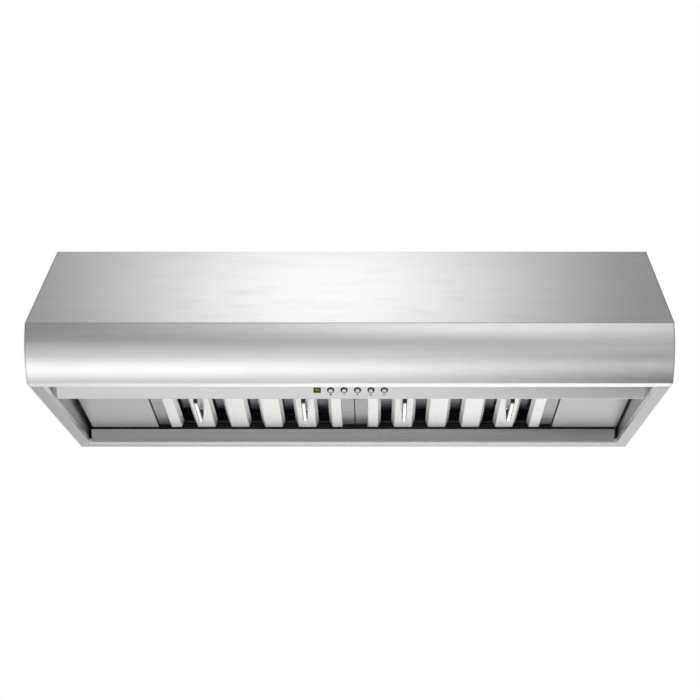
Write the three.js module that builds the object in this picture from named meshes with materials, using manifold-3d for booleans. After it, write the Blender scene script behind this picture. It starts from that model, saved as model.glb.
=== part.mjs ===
// Under-cabinet range hood, 36 inch class: a bent stainless canopy with two baffle filters,
// twin vertical-axis blowers, a round outlet with a butterfly damper, two lamps and push buttons.
// Millimetres, +Z up. The rim's underside is z = 0, the front faces -Y and the back (wall) is +Y.

import * as THREE from 'three';
import { mergeVertices } from 'three/addons/utils/BufferGeometryUtils.js';
import Module from 'manifold-3d';

const wasm = await Module();
wasm.setup();

// ---------------------------------------------------------------- driving dimensions

const GAP = 0.3; // clearance between pieces that touch
const SHEET = 1.2; // stainless sheet of the canopy

const HALF_WIDTH = 454;
const HALF_DEPTH = 280;
const HEIGHT = 252; // rim to top panel
const TOP_INSIDE_Z = HEIGHT - SHEET - GAP; // just under the top panel

// canopy section, seen from the end
const RIM_FRONT_Y = - 246;
const NOSE_CENTRE = { y: - 195, z: 68 };
const NOSE_RADIUS = 85;
const CREASE_Z = 80;
const NOSE_STEPS = 14;
const TOP_FRONT_Y = - 30;
const TOP_FLANGE = 16;
const FRONT_LIP = 26;
const SIDE_LIP = 19;
const REAR_LIP = 34;
const HEM = 8;
const TOP_HOLE_DEPTH = 5; // how far the hole tools reach past the top panel

// fixings and cable entry in the top panel
const KEYHOLE_X = 385;
const KEYHOLE_Y = [ 20, 235 ];
const KEYHOLE_RADIUS = 6;
const KEYHOLE_SLOT_RADIUS = 3;
const KEYHOLE_SLOT = 14;
const GLAND_CENTRE = { x: - 390, y: 190 };
const GLAND_HOLE_RADIUS = 11;
const GLAND_BORE = 7;
const GLAND_LIP = 4;

// liner, control strip and rear strip
const LINER_HALF_WIDTH = 436.5;
const LINER_SHEET = 1;
const LINER_TOP_Z = 96;
const STRIP_HALF_WIDTH = 431;
const STRIP_EDGE = { y: - 116, z: 2 }; // lower rear edge of the control strip
const STRIP_ANGLE = THREE.MathUtils.degToRad( 40 );
const STRIP_WIDTH = 62;
const STRIP_BACK_TOP_Z = 66;
const REAR_STRIP_TOP = { y: 229, z: 20.5 };
const REAR_STRIP_FOOT = { y: 244.4, z: 2.5 };
const FRONT_RAIL = { z: 84, back: - 70, drop: 14, rise: 12 };
const REAR_RAIL = { z: 50, front: 204, back: 240, rise: 34 };
const CATCH = { halfWidth: 18, front: - 98, back: - 84, bottom: 75.2 };

// buttons and display, in the control strip's own plane
const BUTTON_PITCH = 19.7;
const BUTTON_ROW = 18.5; // above the strip's lower edge
const BUTTON_CAP_RADIUS = 3.75;
const BUTTON_PROUD = 2;
const COLLAR_OUTER_RADIUS = 5.1;
const COLLAR_INNER_RADIUS = 4.15;
const COLLAR_PROUD = 0.4;
const GUIDE_BACK = - 3.4;
const GUIDE_THICKNESS = 1.8;
const DISPLAY_X = - 2.5 * BUTTON_PITCH;
const DISPLAY_SIZE = { x: 10.3, y: 9.5 };

// filter plane: it falls towards the back
const FILTER_FRONT = { y: - 97, z: 52.2 };
const FILTER_TILT = Math.atan( 0.09 );
const FILTER_LENGTH = 321;
const FILTER_WIDTH = 321;
const FILTER_HEIGHT = 22;
const FILTER_CENTRES = { left: - 157.5, right: 164.5 };
const FILTER_END_STRIP = 21;
const BAR_PITCH = 55.2;
const BAR_FLAT = 28;
const BAR_CHAMFER = 5;
const BAR_HEIGHT = 8;
const BAR_SHEET = 1;
const BAR_END_CUT = 7;
const UPPER_BAR_BASE = 12;
const RAIL_WIDTH = 14;
const RAIL_BASE = 6;
const HANDLE_LENGTH = 108;
const HANDLE_DROP = 22;
const HANDLE_RADIUS = 3.5;
const HANDLE_BEND = 11;
const FILLER_PANELS = { left: [ - 428.5, - 319.2 ], right: [ 326.2, 432.5 ] };
const FILLER_FLANGE = 14;

// lamps, in the filter plane
const LAMP_CENTRE = { x: 377, v: 58 };
const LAMP_RADIUS = 30;

// blowers: the right one; the left one is its mirror image
const BLOWER_AXIS = { x: 218, y: 112 };
const SCROLL_BASE_Z = 115;
const SCROLL_TOP_Z = 215;
const SCROLL_MIN_RADIUS = 106;
const SCROLL_MAX_RADIUS = 140;
const SCROLL_SHEET = 1.5;
const OUTLET_MOUTH_X = 96;
const OUTLET_MOUTH_DEPTH = 88;
const INLET_RADIUS = 78;
const INLET_FLANGE = 14;
const INLET_SHEET = 1.2;
const HANGER_RADIUS = 92;
const HANGER_ANGLES = [ 20, 140, 250 ];
const IMPELLER_RADIUS = 95;
const BLADE_INNER_RADIUS = 79;
const BLADE_COUNT = 20;
const IMPELLER_BASE_Z = 122;
const IMPELLER_TOP_Z = 190;
const MOTOR_RADIUS = 48;
const MOTOR_BASE_Z = 196;
const MOTOR_TOP_Z = 246;
const SHAFT_RADIUS = 4;

// outlet, collar and damper
const DUCT_CENTRE_Y = 170;
const COLLAR_RADIUS = 89;
const COLLAR_TOP_Z = 280;
const COLLAR_FLANGE = 16;
const COLLAR_FLANGE_BACK_Y = HALF_DEPTH - 18 - GAP; // clipped short of the back panel's flange
const OUTLET_BOX_HALF_DEPTH = 92;
const DAMPER_Z = 264;
const FLAP_THICKNESS = 1;
const PIN_RADIUS = 2;

// wiring
const WIRING_BOX = { x0: - 436, x1: - 366, y0: 160, y1: 224, z0: 196, z1: TOP_INSIDE_Z };
const WIRING_SHEET = 1.5;
const CAPACITOR = { x: - 340, y: - 20, z: 190, radius: 17.5, length: 60 };
const CLIP = { width: 12, sheet: 1.5, foot: 24 };
const POWER_BOARD = { x0: 372, x1: 430, y0: 150, y1: 240, z: 236, thickness: 1.6 };
// transformer, relay and connector under the power board
const POWER_COMPONENTS = [
	{ x0: 380, x1: 422, y0: 160, y1: 196, z: 204 },
	{ x0: 384, x1: 400, y0: 206, y1: 230, z: 220 },
	{ x0: 408, x1: 426, y0: 206, y1: 232, z: 226 },
];

const ROUND = 28; // sides of a large circle
const SMALL_ROUND = 16;

// ---------------------------------------------------------------- materials

function material( color, roughness, metalness, extra = {} ) {

	return new THREE.MeshStandardMaterial( { color, roughness, metalness, ...extra } );

}

const steel = material( 0xc9cbcb, 0.32, 1 );
const linerSteel = material( 0xa8a49c, 0.4, 1 );
const baffleSteel = material( 0xe4e3df, 0.25, 1 );
const chrome = material( 0xdcdcdc, 0.08, 1 );
const galvanised = material( 0x9da3a6, 0.5, 0.9 );
const blackPlastic = material( 0x17181a, 0.5, 0 );
const greyPlastic = material( 0xb9bcc0, 0.4, 0.2 );
const circuitGreen = material( 0x1d5c3a, 0.5, 0 );
const displayGlass = material( 0x6f7d22, 0.15, 0 );
const lampGlass = material( 0xf2f0e6, 0.2, 0, { transparent: true, opacity: 0.6 } );
const motorSteel = material( 0x4b4f55, 0.45, 0.8 );
const impellerSteel = material( 0xb4b8ba, 0.45, 0.9 );
const magnetGrey = material( 0x3a3b3d, 0.5, 0.6 );

// ---------------------------------------------------------------- solids

function solid( geometry ) {

	const bare = geometry.clone();
	bare.deleteAttribute( 'normal' );
	bare.deleteAttribute( 'uv' );
	const merged = mergeVertices( bare, 1e-4 );
	return new wasm.Manifold( new wasm.Mesh( {
		numProp: 3,
		vertProperties: Float32Array.from( merged.attributes.position.array ),
		triVerts: Uint32Array.from( merged.index.array ),
	} ) );

}

function geometryOf( manifold ) {

	const mesh = manifold.getMesh();
	const geometry = new THREE.BufferGeometry();
	geometry.setAttribute( 'position', new THREE.BufferAttribute( mesh.vertProperties, 3 ) );
	geometry.setIndex( new THREE.BufferAttribute( mesh.triVerts, 1 ) );
	geometry.computeVertexNormals();
	return geometry;

}

function mirrored( geometry ) {

	const copy = geometry.clone();
	copy.scale( - 1, 1, 1 );
	const order = copy.index.array;
	for ( let i = 0; i < order.length; i += 3 ) {

		[ order[ i ], order[ i + 1 ] ] = [ order[ i + 1 ], order[ i ] ];

	}

	copy.computeVertexNormals();
	return copy;

}

function box( x0, x1, y0, y1, z0, z1 ) {

	const geometry = new THREE.BoxGeometry( x1 - x0, y1 - y0, z1 - z0 );
	geometry.translate( ( x0 + x1 ) / 2, ( y0 + y1 ) / 2, ( z0 + z1 ) / 2 );
	return solid( geometry );

}

function cylinder( x, y, radius, z0, z1, sides = ROUND ) {

	const geometry = new THREE.CylinderGeometry( radius, radius, z1 - z0, sides );
	geometry.rotateX( Math.PI / 2 );
	geometry.translate( x, y, ( z0 + z1 ) / 2 );
	return solid( geometry );

}

function ring( x, y, outer, inner, z0, z1, sides = ROUND ) {

	return cylinder( x, y, outer, z0, z1, sides ).subtract( cylinder( x, y, inner, z0 - 1, z1 + 1, sides ) );

}

// outline is a list of [ x, y ]; the prism stands on z0
function prismZ( outline, z0, z1 ) {

	const shape = new THREE.Shape( outline.map( ( [ x, y ] ) => new THREE.Vector2( x, y ) ) );
	const geometry = new THREE.ExtrudeGeometry( shape, { depth: z1 - z0, bevelEnabled: false } );
	geometry.translate( 0, 0, z0 );
	return solid( geometry );

}

// outline is a list of [ y, z ]; the prism runs from x0 to x1
function prismX( outline, x0, x1 ) {

	const shape = new THREE.Shape( outline.map( ( [ y, z ] ) => new THREE.Vector2( y, z ) ) );
	const geometry = new THREE.ExtrudeGeometry( shape, { depth: x1 - x0, bevelEnabled: false } );
	geometry.applyMatrix4( new THREE.Matrix4().makeBasis(
		new THREE.Vector3( 0, 1, 0 ), new THREE.Vector3( 0, 0, 1 ), new THREE.Vector3( 1, 0, 0 ) ) );
	geometry.translate( x0, 0, 0 );
	return solid( geometry );

}

// outline is a list of [ x, z ]; the prism runs from y0 to y1
function prismY( outline, y0, y1 ) {

	const shape = new THREE.Shape( outline.map( ( [ x, z ] ) => new THREE.Vector2( x, z ) ) );
	const geometry = new THREE.ExtrudeGeometry( shape, { depth: y1 - y0, bevelEnabled: false } );
	geometry.applyMatrix4( new THREE.Matrix4().makeBasis(
		new THREE.Vector3( 1, 0, 0 ), new THREE.Vector3( 0, 0, 1 ), new THREE.Vector3( 0, - 1, 0 ) ) );
	geometry.translate( 0, y1, 0 );
	return solid( geometry );

}

// Section of a bent sheet: it follows the path and puts its thickness on the path's left.
function bentSheet( path, thickness ) {

	const directions = path.slice( 1 ).map( ( [ a, b ], i ) => {

		const da = a - path[ i ][ 0 ];
		const db = b - path[ i ][ 1 ];
		const length = Math.hypot( da, db );
		return [ da / length, db / length ];

	} );
	const inner = path.map( ( [ a, b ], i ) => {

		const before = directions[ Math.max( i - 1, 0 ) ];
		const after = directions[ Math.min( i, directions.length - 1 ) ];
		const na = - before[ 1 ] - after[ 1 ];
		const nb = before[ 0 ] + after[ 0 ];
		const scale = thickness / ( 1 + before[ 0 ] * after[ 0 ] + before[ 1 ] * after[ 1 ] );
		return [ a + na * scale, b + nb * scale ];

	} );
	return [ ...path, ...inner.reverse() ];

}

function join( solids ) {

	return solids.reduce( ( all, next ) => all.add( next ) );

}

function cut( body, tools ) {

	return tools.reduce( ( rest, tool ) => rest.subtract( tool ), body );

}

const hood = new THREE.Group();

function add( name, shape, finish, parent = hood ) {

	const geometry = shape.isBufferGeometry ? shape : geometryOf( shape );
	const mesh = new THREE.Mesh( geometry, finish );
	mesh.name = name;
	parent.add( mesh );
	return mesh;

}

// A pair of mirror-image pieces, made from the right-hand one.
function addPair( name, shape, finish ) {

	const right = geometryOf( shape );
	add( `right_${ name }`, right, finish );
	add( `left_${ name }`, mirrored( right ), finish );

}

// ---------------------------------------------------------------- canopy

function noseArc() {

	const top = Math.PI - Math.asin( ( CREASE_Z - NOSE_CENTRE.z ) / NOSE_RADIUS );
	const bottom = Math.PI + Math.asin( NOSE_CENTRE.z / NOSE_RADIUS );
	const points = [];
	for ( let i = 0; i <= NOSE_STEPS; i ++ ) {

		const angle = top + ( bottom - top ) * i / NOSE_STEPS;
		points.push( [
			NOSE_CENTRE.y + NOSE_RADIUS * Math.cos( angle ),
			NOSE_CENTRE.z + NOSE_RADIUS * Math.sin( angle ),
		] );

	}

	return points;

}

function frontWrapper() {

	const lipBack = RIM_FRONT_Y + FRONT_LIP;
	const path = [
		[ TOP_FRONT_Y + TOP_FLANGE, HEIGHT ],
		[ TOP_FRONT_Y, HEIGHT ],
		...noseArc(),
		[ lipBack, 0 ],
		[ lipBack, HEM ],
	];
	const half = HALF_WIDTH - SHEET - GAP;
	return prismX( bentSheet( path, SHEET ), - half, half );

}

function sidePanel() {

	const outline = [
		[ HALF_DEPTH, 0 ],
		[ HALF_DEPTH, HEIGHT ],
		[ TOP_FRONT_Y, HEIGHT ],
		...noseArc(),
	];
	const inner = HALF_WIDTH - SHEET;
	const lipEdge = HALF_WIDTH - SIDE_LIP;
	const lipFront = RIM_FRONT_Y + FRONT_LIP + 2 * GAP;
	const lipBack = HALF_DEPTH - REAR_LIP - 2 * GAP;
	const flangeTop = TOP_INSIDE_Z;
	return join( [
		prismX( outline, inner, HALF_WIDTH ),
		box( lipEdge, inner + 0.5, lipFront, lipBack, 0, SHEET ),
		box( lipEdge, lipEdge + SHEET, lipFront, lipBack, 0, HEM ),
		box( inner - 15, inner + 0.5, TOP_FRONT_Y + 30, HALF_DEPTH - 22, flangeTop - SHEET, flangeTop ),
	] );

}

function backPanel() {

	const lipFront = HALF_DEPTH - REAR_LIP;
	const flangeTop = TOP_INSIDE_Z;
	const path = [
		[ lipFront, HEM ],
		[ lipFront, 0 ],
		[ HALF_DEPTH, 0 ],
		[ HALF_DEPTH, flangeTop ],
		[ HALF_DEPTH - 18, flangeTop ],
	];
	const half = HALF_WIDTH - SHEET - GAP;
	return prismX( bentSheet( path, SHEET ), - half, half );

}

function keyhole( x, y ) {

	const low = HEIGHT - TOP_HOLE_DEPTH;
	const high = HEIGHT + TOP_HOLE_DEPTH;
	return join( [
		cylinder( x, y, KEYHOLE_RADIUS, low, high, SMALL_ROUND ),
		box( x - KEYHOLE_SLOT_RADIUS, x + KEYHOLE_SLOT_RADIUS, y - KEYHOLE_SLOT, y, low, high ),
		cylinder( x, y - KEYHOLE_SLOT, KEYHOLE_SLOT_RADIUS, low, high, SMALL_ROUND ),
	] );

}

function topPanel() {

	const half = HALF_WIDTH - SHEET - GAP;
	const front = TOP_FRONT_Y + TOP_FLANGE + GAP;
	const plate = box( - half, half, front, HALF_DEPTH, HEIGHT - SHEET, HEIGHT );
	const low = HEIGHT - TOP_HOLE_DEPTH;
	const high = HEIGHT + TOP_HOLE_DEPTH;
	const holes = [
		cylinder( 0, DUCT_CENTRE_Y, COLLAR_RADIUS + GAP, low, high ),
		cylinder( GLAND_CENTRE.x, GLAND_CENTRE.y, GLAND_HOLE_RADIUS, low, high, SMALL_ROUND ),
	];
	for ( const y of KEYHOLE_Y ) {

		holes.push( keyhole( KEYHOLE_X, y ), keyhole( - KEYHOLE_X, y ) );

	}

	return cut( plate, holes );

}

function liner() {

	const inner = LINER_HALF_WIDTH;
	const front = RIM_FRONT_Y + FRONT_LIP + 2;
	const back = HALF_DEPTH - REAR_LIP - 1;
	const wall = box( inner, inner + LINER_SHEET, front, back, SHEET + GAP, LINER_TOP_Z );
	const flange = box( inner, HALF_WIDTH - SHEET - GAP, front, back, LINER_TOP_Z - LINER_SHEET, LINER_TOP_Z );
	return wall.add( flange );

}

// ---------------------------------------------------------------- control strip

const controlPlane = new THREE.Group();
controlPlane.position.set( 0, STRIP_EDGE.y, STRIP_EDGE.z );
controlPlane.rotation.x = Math.PI - STRIP_ANGLE;
controlPlane.updateMatrix();
hood.add( controlPlane );

// A piece shaped in the control strip's plane, moved into the hood's frame.
function inControlPlane( geometry ) {

	geometry.applyMatrix4( controlPlane.matrix );
	return solid( geometry );

}

function controlHole( x, radius ) {

	const geometry = new THREE.CylinderGeometry( radius, radius, 12, SMALL_ROUND );
	geometry.rotateX( Math.PI / 2 );
	geometry.translate( x, BUTTON_ROW, 0 );
	return inControlPlane( geometry );

}

function buttonX( index ) {

	return ( index - 1.5 ) * BUTTON_PITCH;

}

function controlStrip() {

	const top = {
		y: STRIP_EDGE.y - STRIP_WIDTH * Math.cos( STRIP_ANGLE ),
		z: STRIP_EDGE.z + STRIP_WIDTH * Math.sin( STRIP_ANGLE ),
	};
	const path = [
		[ top.y, LINER_TOP_Z ],
		[ top.y, top.z ],
		[ STRIP_EDGE.y, STRIP_EDGE.z ],
		[ STRIP_EDGE.y, STRIP_BACK_TOP_Z ],
	];
	const body = prismX( bentSheet( path, SHEET ), - STRIP_HALF_WIDTH, STRIP_HALF_WIDTH );
	const window = new THREE.BoxGeometry( DISPLAY_SIZE.x + 2 * GAP, DISPLAY_SIZE.y + 2 * GAP, 6 );
	window.translate( DISPLAY_X, BUTTON_ROW, 0 );
	const tools = [ inControlPlane( window ) ];
	for ( let i = 0; i < 5; i ++ ) {

		tools.push( controlHole( buttonX( i ), COLLAR_OUTER_RADIUS + GAP ) );

	}

	return cut( body, tools );

}

// One moulded piece behind the strip: a plate with a collar through each button hole.
function buttonGuide() {

	const plateTop = GUIDE_BACK + GUIDE_THICKNESS;
	let guide = box( - 62, 62, BUTTON_ROW - 8, BUTTON_ROW + 12, GUIDE_BACK, plateTop );
	for ( let i = 0; i < 5; i ++ ) {

		const x = buttonX( i );
		guide = guide.add( cylinder( x, BUTTON_ROW, COLLAR_OUTER_RADIUS, GUIDE_BACK, COLLAR_PROUD, SMALL_ROUND ) );

	}

	const halfX = DISPLAY_SIZE.x / 2 + 2;
	const halfY = DISPLAY_SIZE.y / 2 + 2;
	const reach = 9;
	const window = box(
		DISPLAY_X - halfX, DISPLAY_X + halfX, BUTTON_ROW - halfY, BUTTON_ROW + halfY, - reach, reach );
	const tools = [ window ];
	for ( let i = 0; i < 5; i ++ ) {

		tools.push( cylinder( buttonX( i ), BUTTON_ROW, COLLAR_INNER_RADIUS, - reach, reach, SMALL_ROUND ) );

	}

	return cut( guide, tools );

}

function buttonCap( x ) {

	const r = BUTTON_CAP_RADIUS;
	const top = BUTTON_PROUD;
	const back = GUIDE_BACK - 3;
	const profile = [
		[ 0, back ],
		[ r + 0.9, back ],
		[ r + 0.9, back + 1 ],
		[ r, back + 1 ],
		[ r, top - 0.6 ],
		[ r - 0.5, top - 0.15 ],
		[ r - 1.4, top ],
		[ 0, top ],
	].map( ( [ a, b ] ) => new THREE.Vector2( a, b ) );
	const geometry = new THREE.LatheGeometry( profile, SMALL_ROUND );
	geometry.rotateX( Math.PI / 2 );
	geometry.translate( x, BUTTON_ROW, 0 );
	return geometryOf( solid( geometry ) );

}

function displayWindow() {

	const halfX = DISPLAY_SIZE.x / 2;
	const halfY = DISPLAY_SIZE.y / 2;
	return box( DISPLAY_X - halfX, DISPLAY_X + halfX, BUTTON_ROW - halfY, BUTTON_ROW + halfY, - 1.3, 0.2 );

}

function displayModule() {

	const back = GUIDE_BACK - 5;
	return box( DISPLAY_X - 6.5, DISPLAY_X + 6.5, BUTTON_ROW - 6, BUTTON_ROW + 6, back, - 1.3 - GAP );

}

const BOARD_FRONT = GUIDE_BACK - 5 - GAP;

function controlBoard() {

	const board = box( - 62, 62, BUTTON_ROW - 3, BUTTON_ROW + 26, BOARD_FRONT - 1.6, BOARD_FRONT );
	const socket = box( 30, 54, BUTTON_ROW + 15, BUTTON_ROW + 23, BOARD_FRONT - 0.5, BOARD_FRONT + 2.5 );
	return board.add( socket );

}

function addControls() {

	add( 'control_strip', controlStrip(), steel );
	add( 'button_guide', buttonGuide(), blackPlastic, controlPlane );
	[ 'timer', 'lamp', 'slower', 'faster', 'power' ].forEach( ( use, i ) => {

		add( `${ use }_button`, buttonCap( buttonX( i ) ), greyPlastic, controlPlane );

	} );
	add( 'display_window', displayWindow(), displayGlass, controlPlane );
	add( 'display_module', displayModule(), blackPlastic, controlPlane );
	add( 'control_board', controlBoard(), circuitGreen, controlPlane );

}

// ---------------------------------------------------------------- filters

const filterPlane = new THREE.Group();
filterPlane.position.set( 0, FILTER_FRONT.y, FILTER_FRONT.z );
filterPlane.rotation.x = - FILTER_TILT;
hood.add( filterPlane );

// A shallow channel along the filter; up is 1 when it opens upwards and -1 when it opens down.
function channelBar( left, right, base, up, v0, v1, chamfers = [ true, true ] ) {

	const rise = base + up * BAR_HEIGHT;
	const path = [];
	if ( chamfers[ 0 ] ) path.push( [ left - BAR_CHAMFER, rise ] );
	path.push( [ left, base ], [ right, base ] );
	if ( chamfers[ 1 ] ) path.push( [ right + BAR_CHAMFER, rise ] );
	if ( up < 0 ) path.reverse();
	return prismY( bentSheet( path, BAR_SHEET ), v0, v1 );

}

// The four corners cut off a bar's two ends, in plan.
function barEndCuts( left, right, chamfers = [ true, true ] ) {

	const reach = BAR_CHAMFER + 1;
	const tools = [];
	const corner = ( x, sign, v, inward ) => prismZ( [
		[ x + sign * reach, v - inward ],
		[ x + sign * reach, v + inward * BAR_END_CUT * 1.5 ],
		[ x - sign * 1.5, v - inward ],
	], - 1, BAR_HEIGHT + 1 );
	for ( const [ v, inward ] of [ [ 0, 1 ], [ FILTER_LENGTH, - 1 ] ] ) {

		if ( chamfers[ 0 ] ) tools.push( corner( left, - 1, v, inward ) );
		if ( chamfers[ 1 ] ) tools.push( corner( right, 1, v, inward ) );

	}

	return tools;

}

function fullBarCentres( centre ) {

	return [ - 1.5, - 0.5, 0.5, 1.5 ].map( ( k ) => centre + k * BAR_PITCH );

}

function filterRail( x0, x1, edge, inward ) {

	const web = [ [ edge, RAIL_BASE ], [ edge, FILTER_HEIGHT ] ];
	const flange = edge + inward * RAIL_WIDTH;
	const path = [ [ flange, RAIL_BASE ], ...web, [ flange, FILTER_HEIGHT ] ];
	if ( inward > 0 ) path.reverse();
	return prismX( bentSheet( path, SHEET ), x0, x1 );

}

function filterEndStrip( edge, inward ) {

	const strip = 3; // the strip lies this much above the bars' faces
	const path = [ [ edge + inward * FILTER_END_STRIP, strip ], [ edge, strip ], [ edge, FILTER_HEIGHT ] ];
	if ( inward > 0 ) path.reverse();
	return prismY( bentSheet( path, SHEET ), 0, FILTER_LENGTH );

}

function filterFrame( centre ) {

	const left = centre - FILTER_WIDTH / 2;
	const right = centre + FILTER_WIDTH / 2;
	const pieces = [
		filterRail( left, right, 0, 1 ),
		filterRail( left, right, FILTER_LENGTH, - 1 ),
		filterEndStrip( left, 1 ),
		filterEndStrip( right, - 1 ),
	];
	for ( const x of fullBarCentres( centre ) ) {

		const half = BAR_FLAT / 2;
		const bar = channelBar( x - half, x + half, 0, 1, 0, FILTER_LENGTH );
		pieces.push( cut( bar, barEndCuts( x - half, x + half ) ) );

	}

	const innerEdge = 2.5 * BAR_PITCH - BAR_FLAT / 2;
	const outerEdge = FILTER_WIDTH / 2 - FILTER_END_STRIP + 1;
	const stepHeight = 6; // the half bar's outer edge turns up to the end strip
	for ( const side of [ - 1, 1 ] ) {

		const chamfers = [ side > 0, side < 0 ];
		const edges = [ centre + side * innerEdge, centre + side * outerEdge ];
		const x0 = Math.min( ...edges );
		const x1 = Math.max( ...edges );
		const bar = channelBar( x0, x1, 0, 1, 0, FILTER_LENGTH, chamfers );
		pieces.push( cut( bar, barEndCuts( x0, x1, chamfers ) ) );
		const step = side > 0 ? [ x1 - BAR_SHEET, x1 ] : [ x0, x0 + BAR_SHEET ];
		pieces.push( box( ...step, 0, FILTER_LENGTH, 0, stepHeight ) );

	}

	return join( pieces );

}

// The upper layer: channels that open downwards over the gaps, tied by a strap at each end.
function upperBaffles( centre ) {

	const inset = RAIL_WIDTH + 2;
	const top = UPPER_BAR_BASE + BAR_HEIGHT;
	const half = BAR_FLAT / 2;
	const pieces = [];
	for ( const k of [ - 2, - 1, 0, 1, 2 ] ) {

		const x = centre + k * BAR_PITCH;
		pieces.push( channelBar( x - half, x + half, top, - 1, inset, FILTER_LENGTH - inset ) );

	}

	const reach = 2 * BAR_PITCH + half + BAR_CHAMFER;
	for ( const v of [ inset, FILTER_LENGTH - inset - 12 ] ) {

		pieces.push( box( centre - reach, centre + reach, v, v + 12, top - 0.6, top + 0.6 ) );

	}

	return join( pieces );

}

function filterHandle( x ) {

	const middle = FILTER_LENGTH / 2;
	const front = middle - HANDLE_LENGTH / 2;
	const back = middle + HANDLE_LENGTH / 2;
	const low = - HANDLE_DROP + HANDLE_RADIUS;
	const point = ( v, w ) => new THREE.Vector3( x, v, w );
	const path = new THREE.CurvePath();
	path.add( new THREE.LineCurve3( point( front, - GAP ), point( front, low + HANDLE_BEND ) ) );
	path.add( new THREE.QuadraticBezierCurve3(
		point( front, low + HANDLE_BEND ), point( front, low ), point( front + HANDLE_BEND, low ) ) );
	path.add( new THREE.LineCurve3( point( front + HANDLE_BEND, low ), point( back - HANDLE_BEND, low ) ) );
	path.add( new THREE.QuadraticBezierCurve3(
		point( back - HANDLE_BEND, low ), point( back, low ), point( back, low + HANDLE_BEND ) ) );
	path.add( new THREE.LineCurve3( point( back, low + HANDLE_BEND ), point( back, - GAP ) ) );
	const section = new THREE.Shape();
	section.absarc( 0, 0, HANDLE_RADIUS, 0, 2 * Math.PI );
	const geometry = new THREE.ExtrudeGeometry( section, { steps: 24, curveSegments: 4, extrudePath: path } );
	return geometryOf( solid( geometry ) );

}

function fillerPanel( x0, x1, lampX ) {

	const path = [ [ x1, FILLER_FLANGE ], [ x1, 0 ], [ x0, 0 ], [ x0, FILLER_FLANGE ] ];
	const panel = prismY( bentSheet( path.reverse(), SHEET ), 0, FILTER_LENGTH );
	return panel.subtract( cylinder( lampX, LAMP_CENTRE.v, LAMP_RADIUS + 1, - 3, 5 ) );

}

function addFilters() {

	for ( const side of [ 'left', 'right' ] ) {

		const centre = FILTER_CENTRES[ side ];
		const bars = fullBarCentres( centre );
		const outward = side === 'left' ? [ bars[ 0 ], bars[ 3 ] ] : [ bars[ 3 ], bars[ 0 ] ];
		add( `${ side }_filter_frame`, filterFrame( centre ), baffleSteel, filterPlane );
		add( `${ side }_filter_upper_baffles`, upperBaffles( centre ), baffleSteel, filterPlane );
		add( `${ side }_filter_outer_handle`, filterHandle( outward[ 0 ] ), chrome, filterPlane );
		add( `${ side }_filter_inner_handle`, filterHandle( outward[ 1 ] ), chrome, filterPlane );
		const sign = side === 'left' ? - 1 : 1;
		const [ x0, x1 ] = FILLER_PANELS[ side ];
		add( `${ side }_filler_panel`, fillerPanel( x0, x1, sign * LAMP_CENTRE.x ), steel, filterPlane );
		addLamp( side, sign * LAMP_CENTRE.x );

	}

}

function addLamp( side, x ) {

	const v = LAMP_CENTRE.v;
	const r = LAMP_RADIUS;
	const can = cylinder( x, v, r, 0.5, 26 ).subtract( cylinder( x, v, r - 1.5, - 1, 24.5 ) );
	const flange = ring( x, v, r + 5, r - 1.5, 1.5, 3 );
	const bezel = ring( x, v, r + 6, r - 4, - 2, - GAP );
	const lens = cylinder( x, v, r - 2, 1, 4 );
	add( `${ side }_lamp_housing`, can.add( flange ), galvanised, filterPlane );
	add( `${ side }_lamp_bezel`, bezel, chrome, filterPlane );
	add( `${ side }_lamp_lens`, lens, lampGlass, filterPlane );

}

// ---------------------------------------------------------------- rails and rear strip

function frontRail() {

	const front = STRIP_EDGE.y + 1;
	const { z, back, drop, rise } = FRONT_RAIL;
	const path = [ [ front, z - drop ], [ front, z ], [ back, z ], [ back, z + rise ] ];
	return prismX( bentSheet( path, SHEET ), - STRIP_HALF_WIDTH, STRIP_HALF_WIDTH );

}

function rearRail() {

	const { z, front, back, rise } = REAR_RAIL;
	const path = [ [ front, z ], [ back, z ], [ back, z + rise ] ];
	return prismX( bentSheet( path, SHEET ), - STRIP_HALF_WIDTH, STRIP_HALF_WIDTH );

}

function rearStrip() {

	const path = [
		[ REAR_STRIP_TOP.y, REAR_RAIL.z - 1 ],
		[ REAR_STRIP_TOP.y, REAR_STRIP_TOP.z ],
		[ REAR_STRIP_FOOT.y, REAR_STRIP_FOOT.z ],
		[ REAR_STRIP_FOOT.y, REAR_STRIP_FOOT.z + 6 ],
	];
	return prismX( bentSheet( path, LINER_SHEET ), - STRIP_HALF_WIDTH, STRIP_HALF_WIDTH );

}

function filterCatch( centre ) {

	const { halfWidth, front, back, bottom } = CATCH;
	return box( centre - halfWidth, centre + halfWidth, front, back, bottom, FRONT_RAIL.z - GAP );

}

// ---------------------------------------------------------------- blowers

// Plan of the scroll, set in from its outer face by a distance.
function scrollOutline( inset, mouth ) {

	const { x, y } = BLOWER_AXIS;
	const steps = 30;
	const sweep = THREE.MathUtils.degToRad( 290 );
	const growth = SCROLL_MAX_RADIUS - SCROLL_MIN_RADIUS;
	const points = [ [ mouth, y + SCROLL_MAX_RADIUS - inset ] ];
	for ( let i = 0; i <= steps; i ++ ) {

		const angle = Math.PI / 2 - sweep * i / steps;
		const radius = SCROLL_MAX_RADIUS - growth * i / steps - inset;
		points.push( [ x + radius * Math.cos( angle ), y + radius * Math.sin( angle ) ] );

	}

	const tongueY = y + SCROLL_MAX_RADIUS - OUTLET_MOUTH_DEPTH + inset;
	points.push( [ mouth, tongueY ] );
	return points;

}

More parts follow.
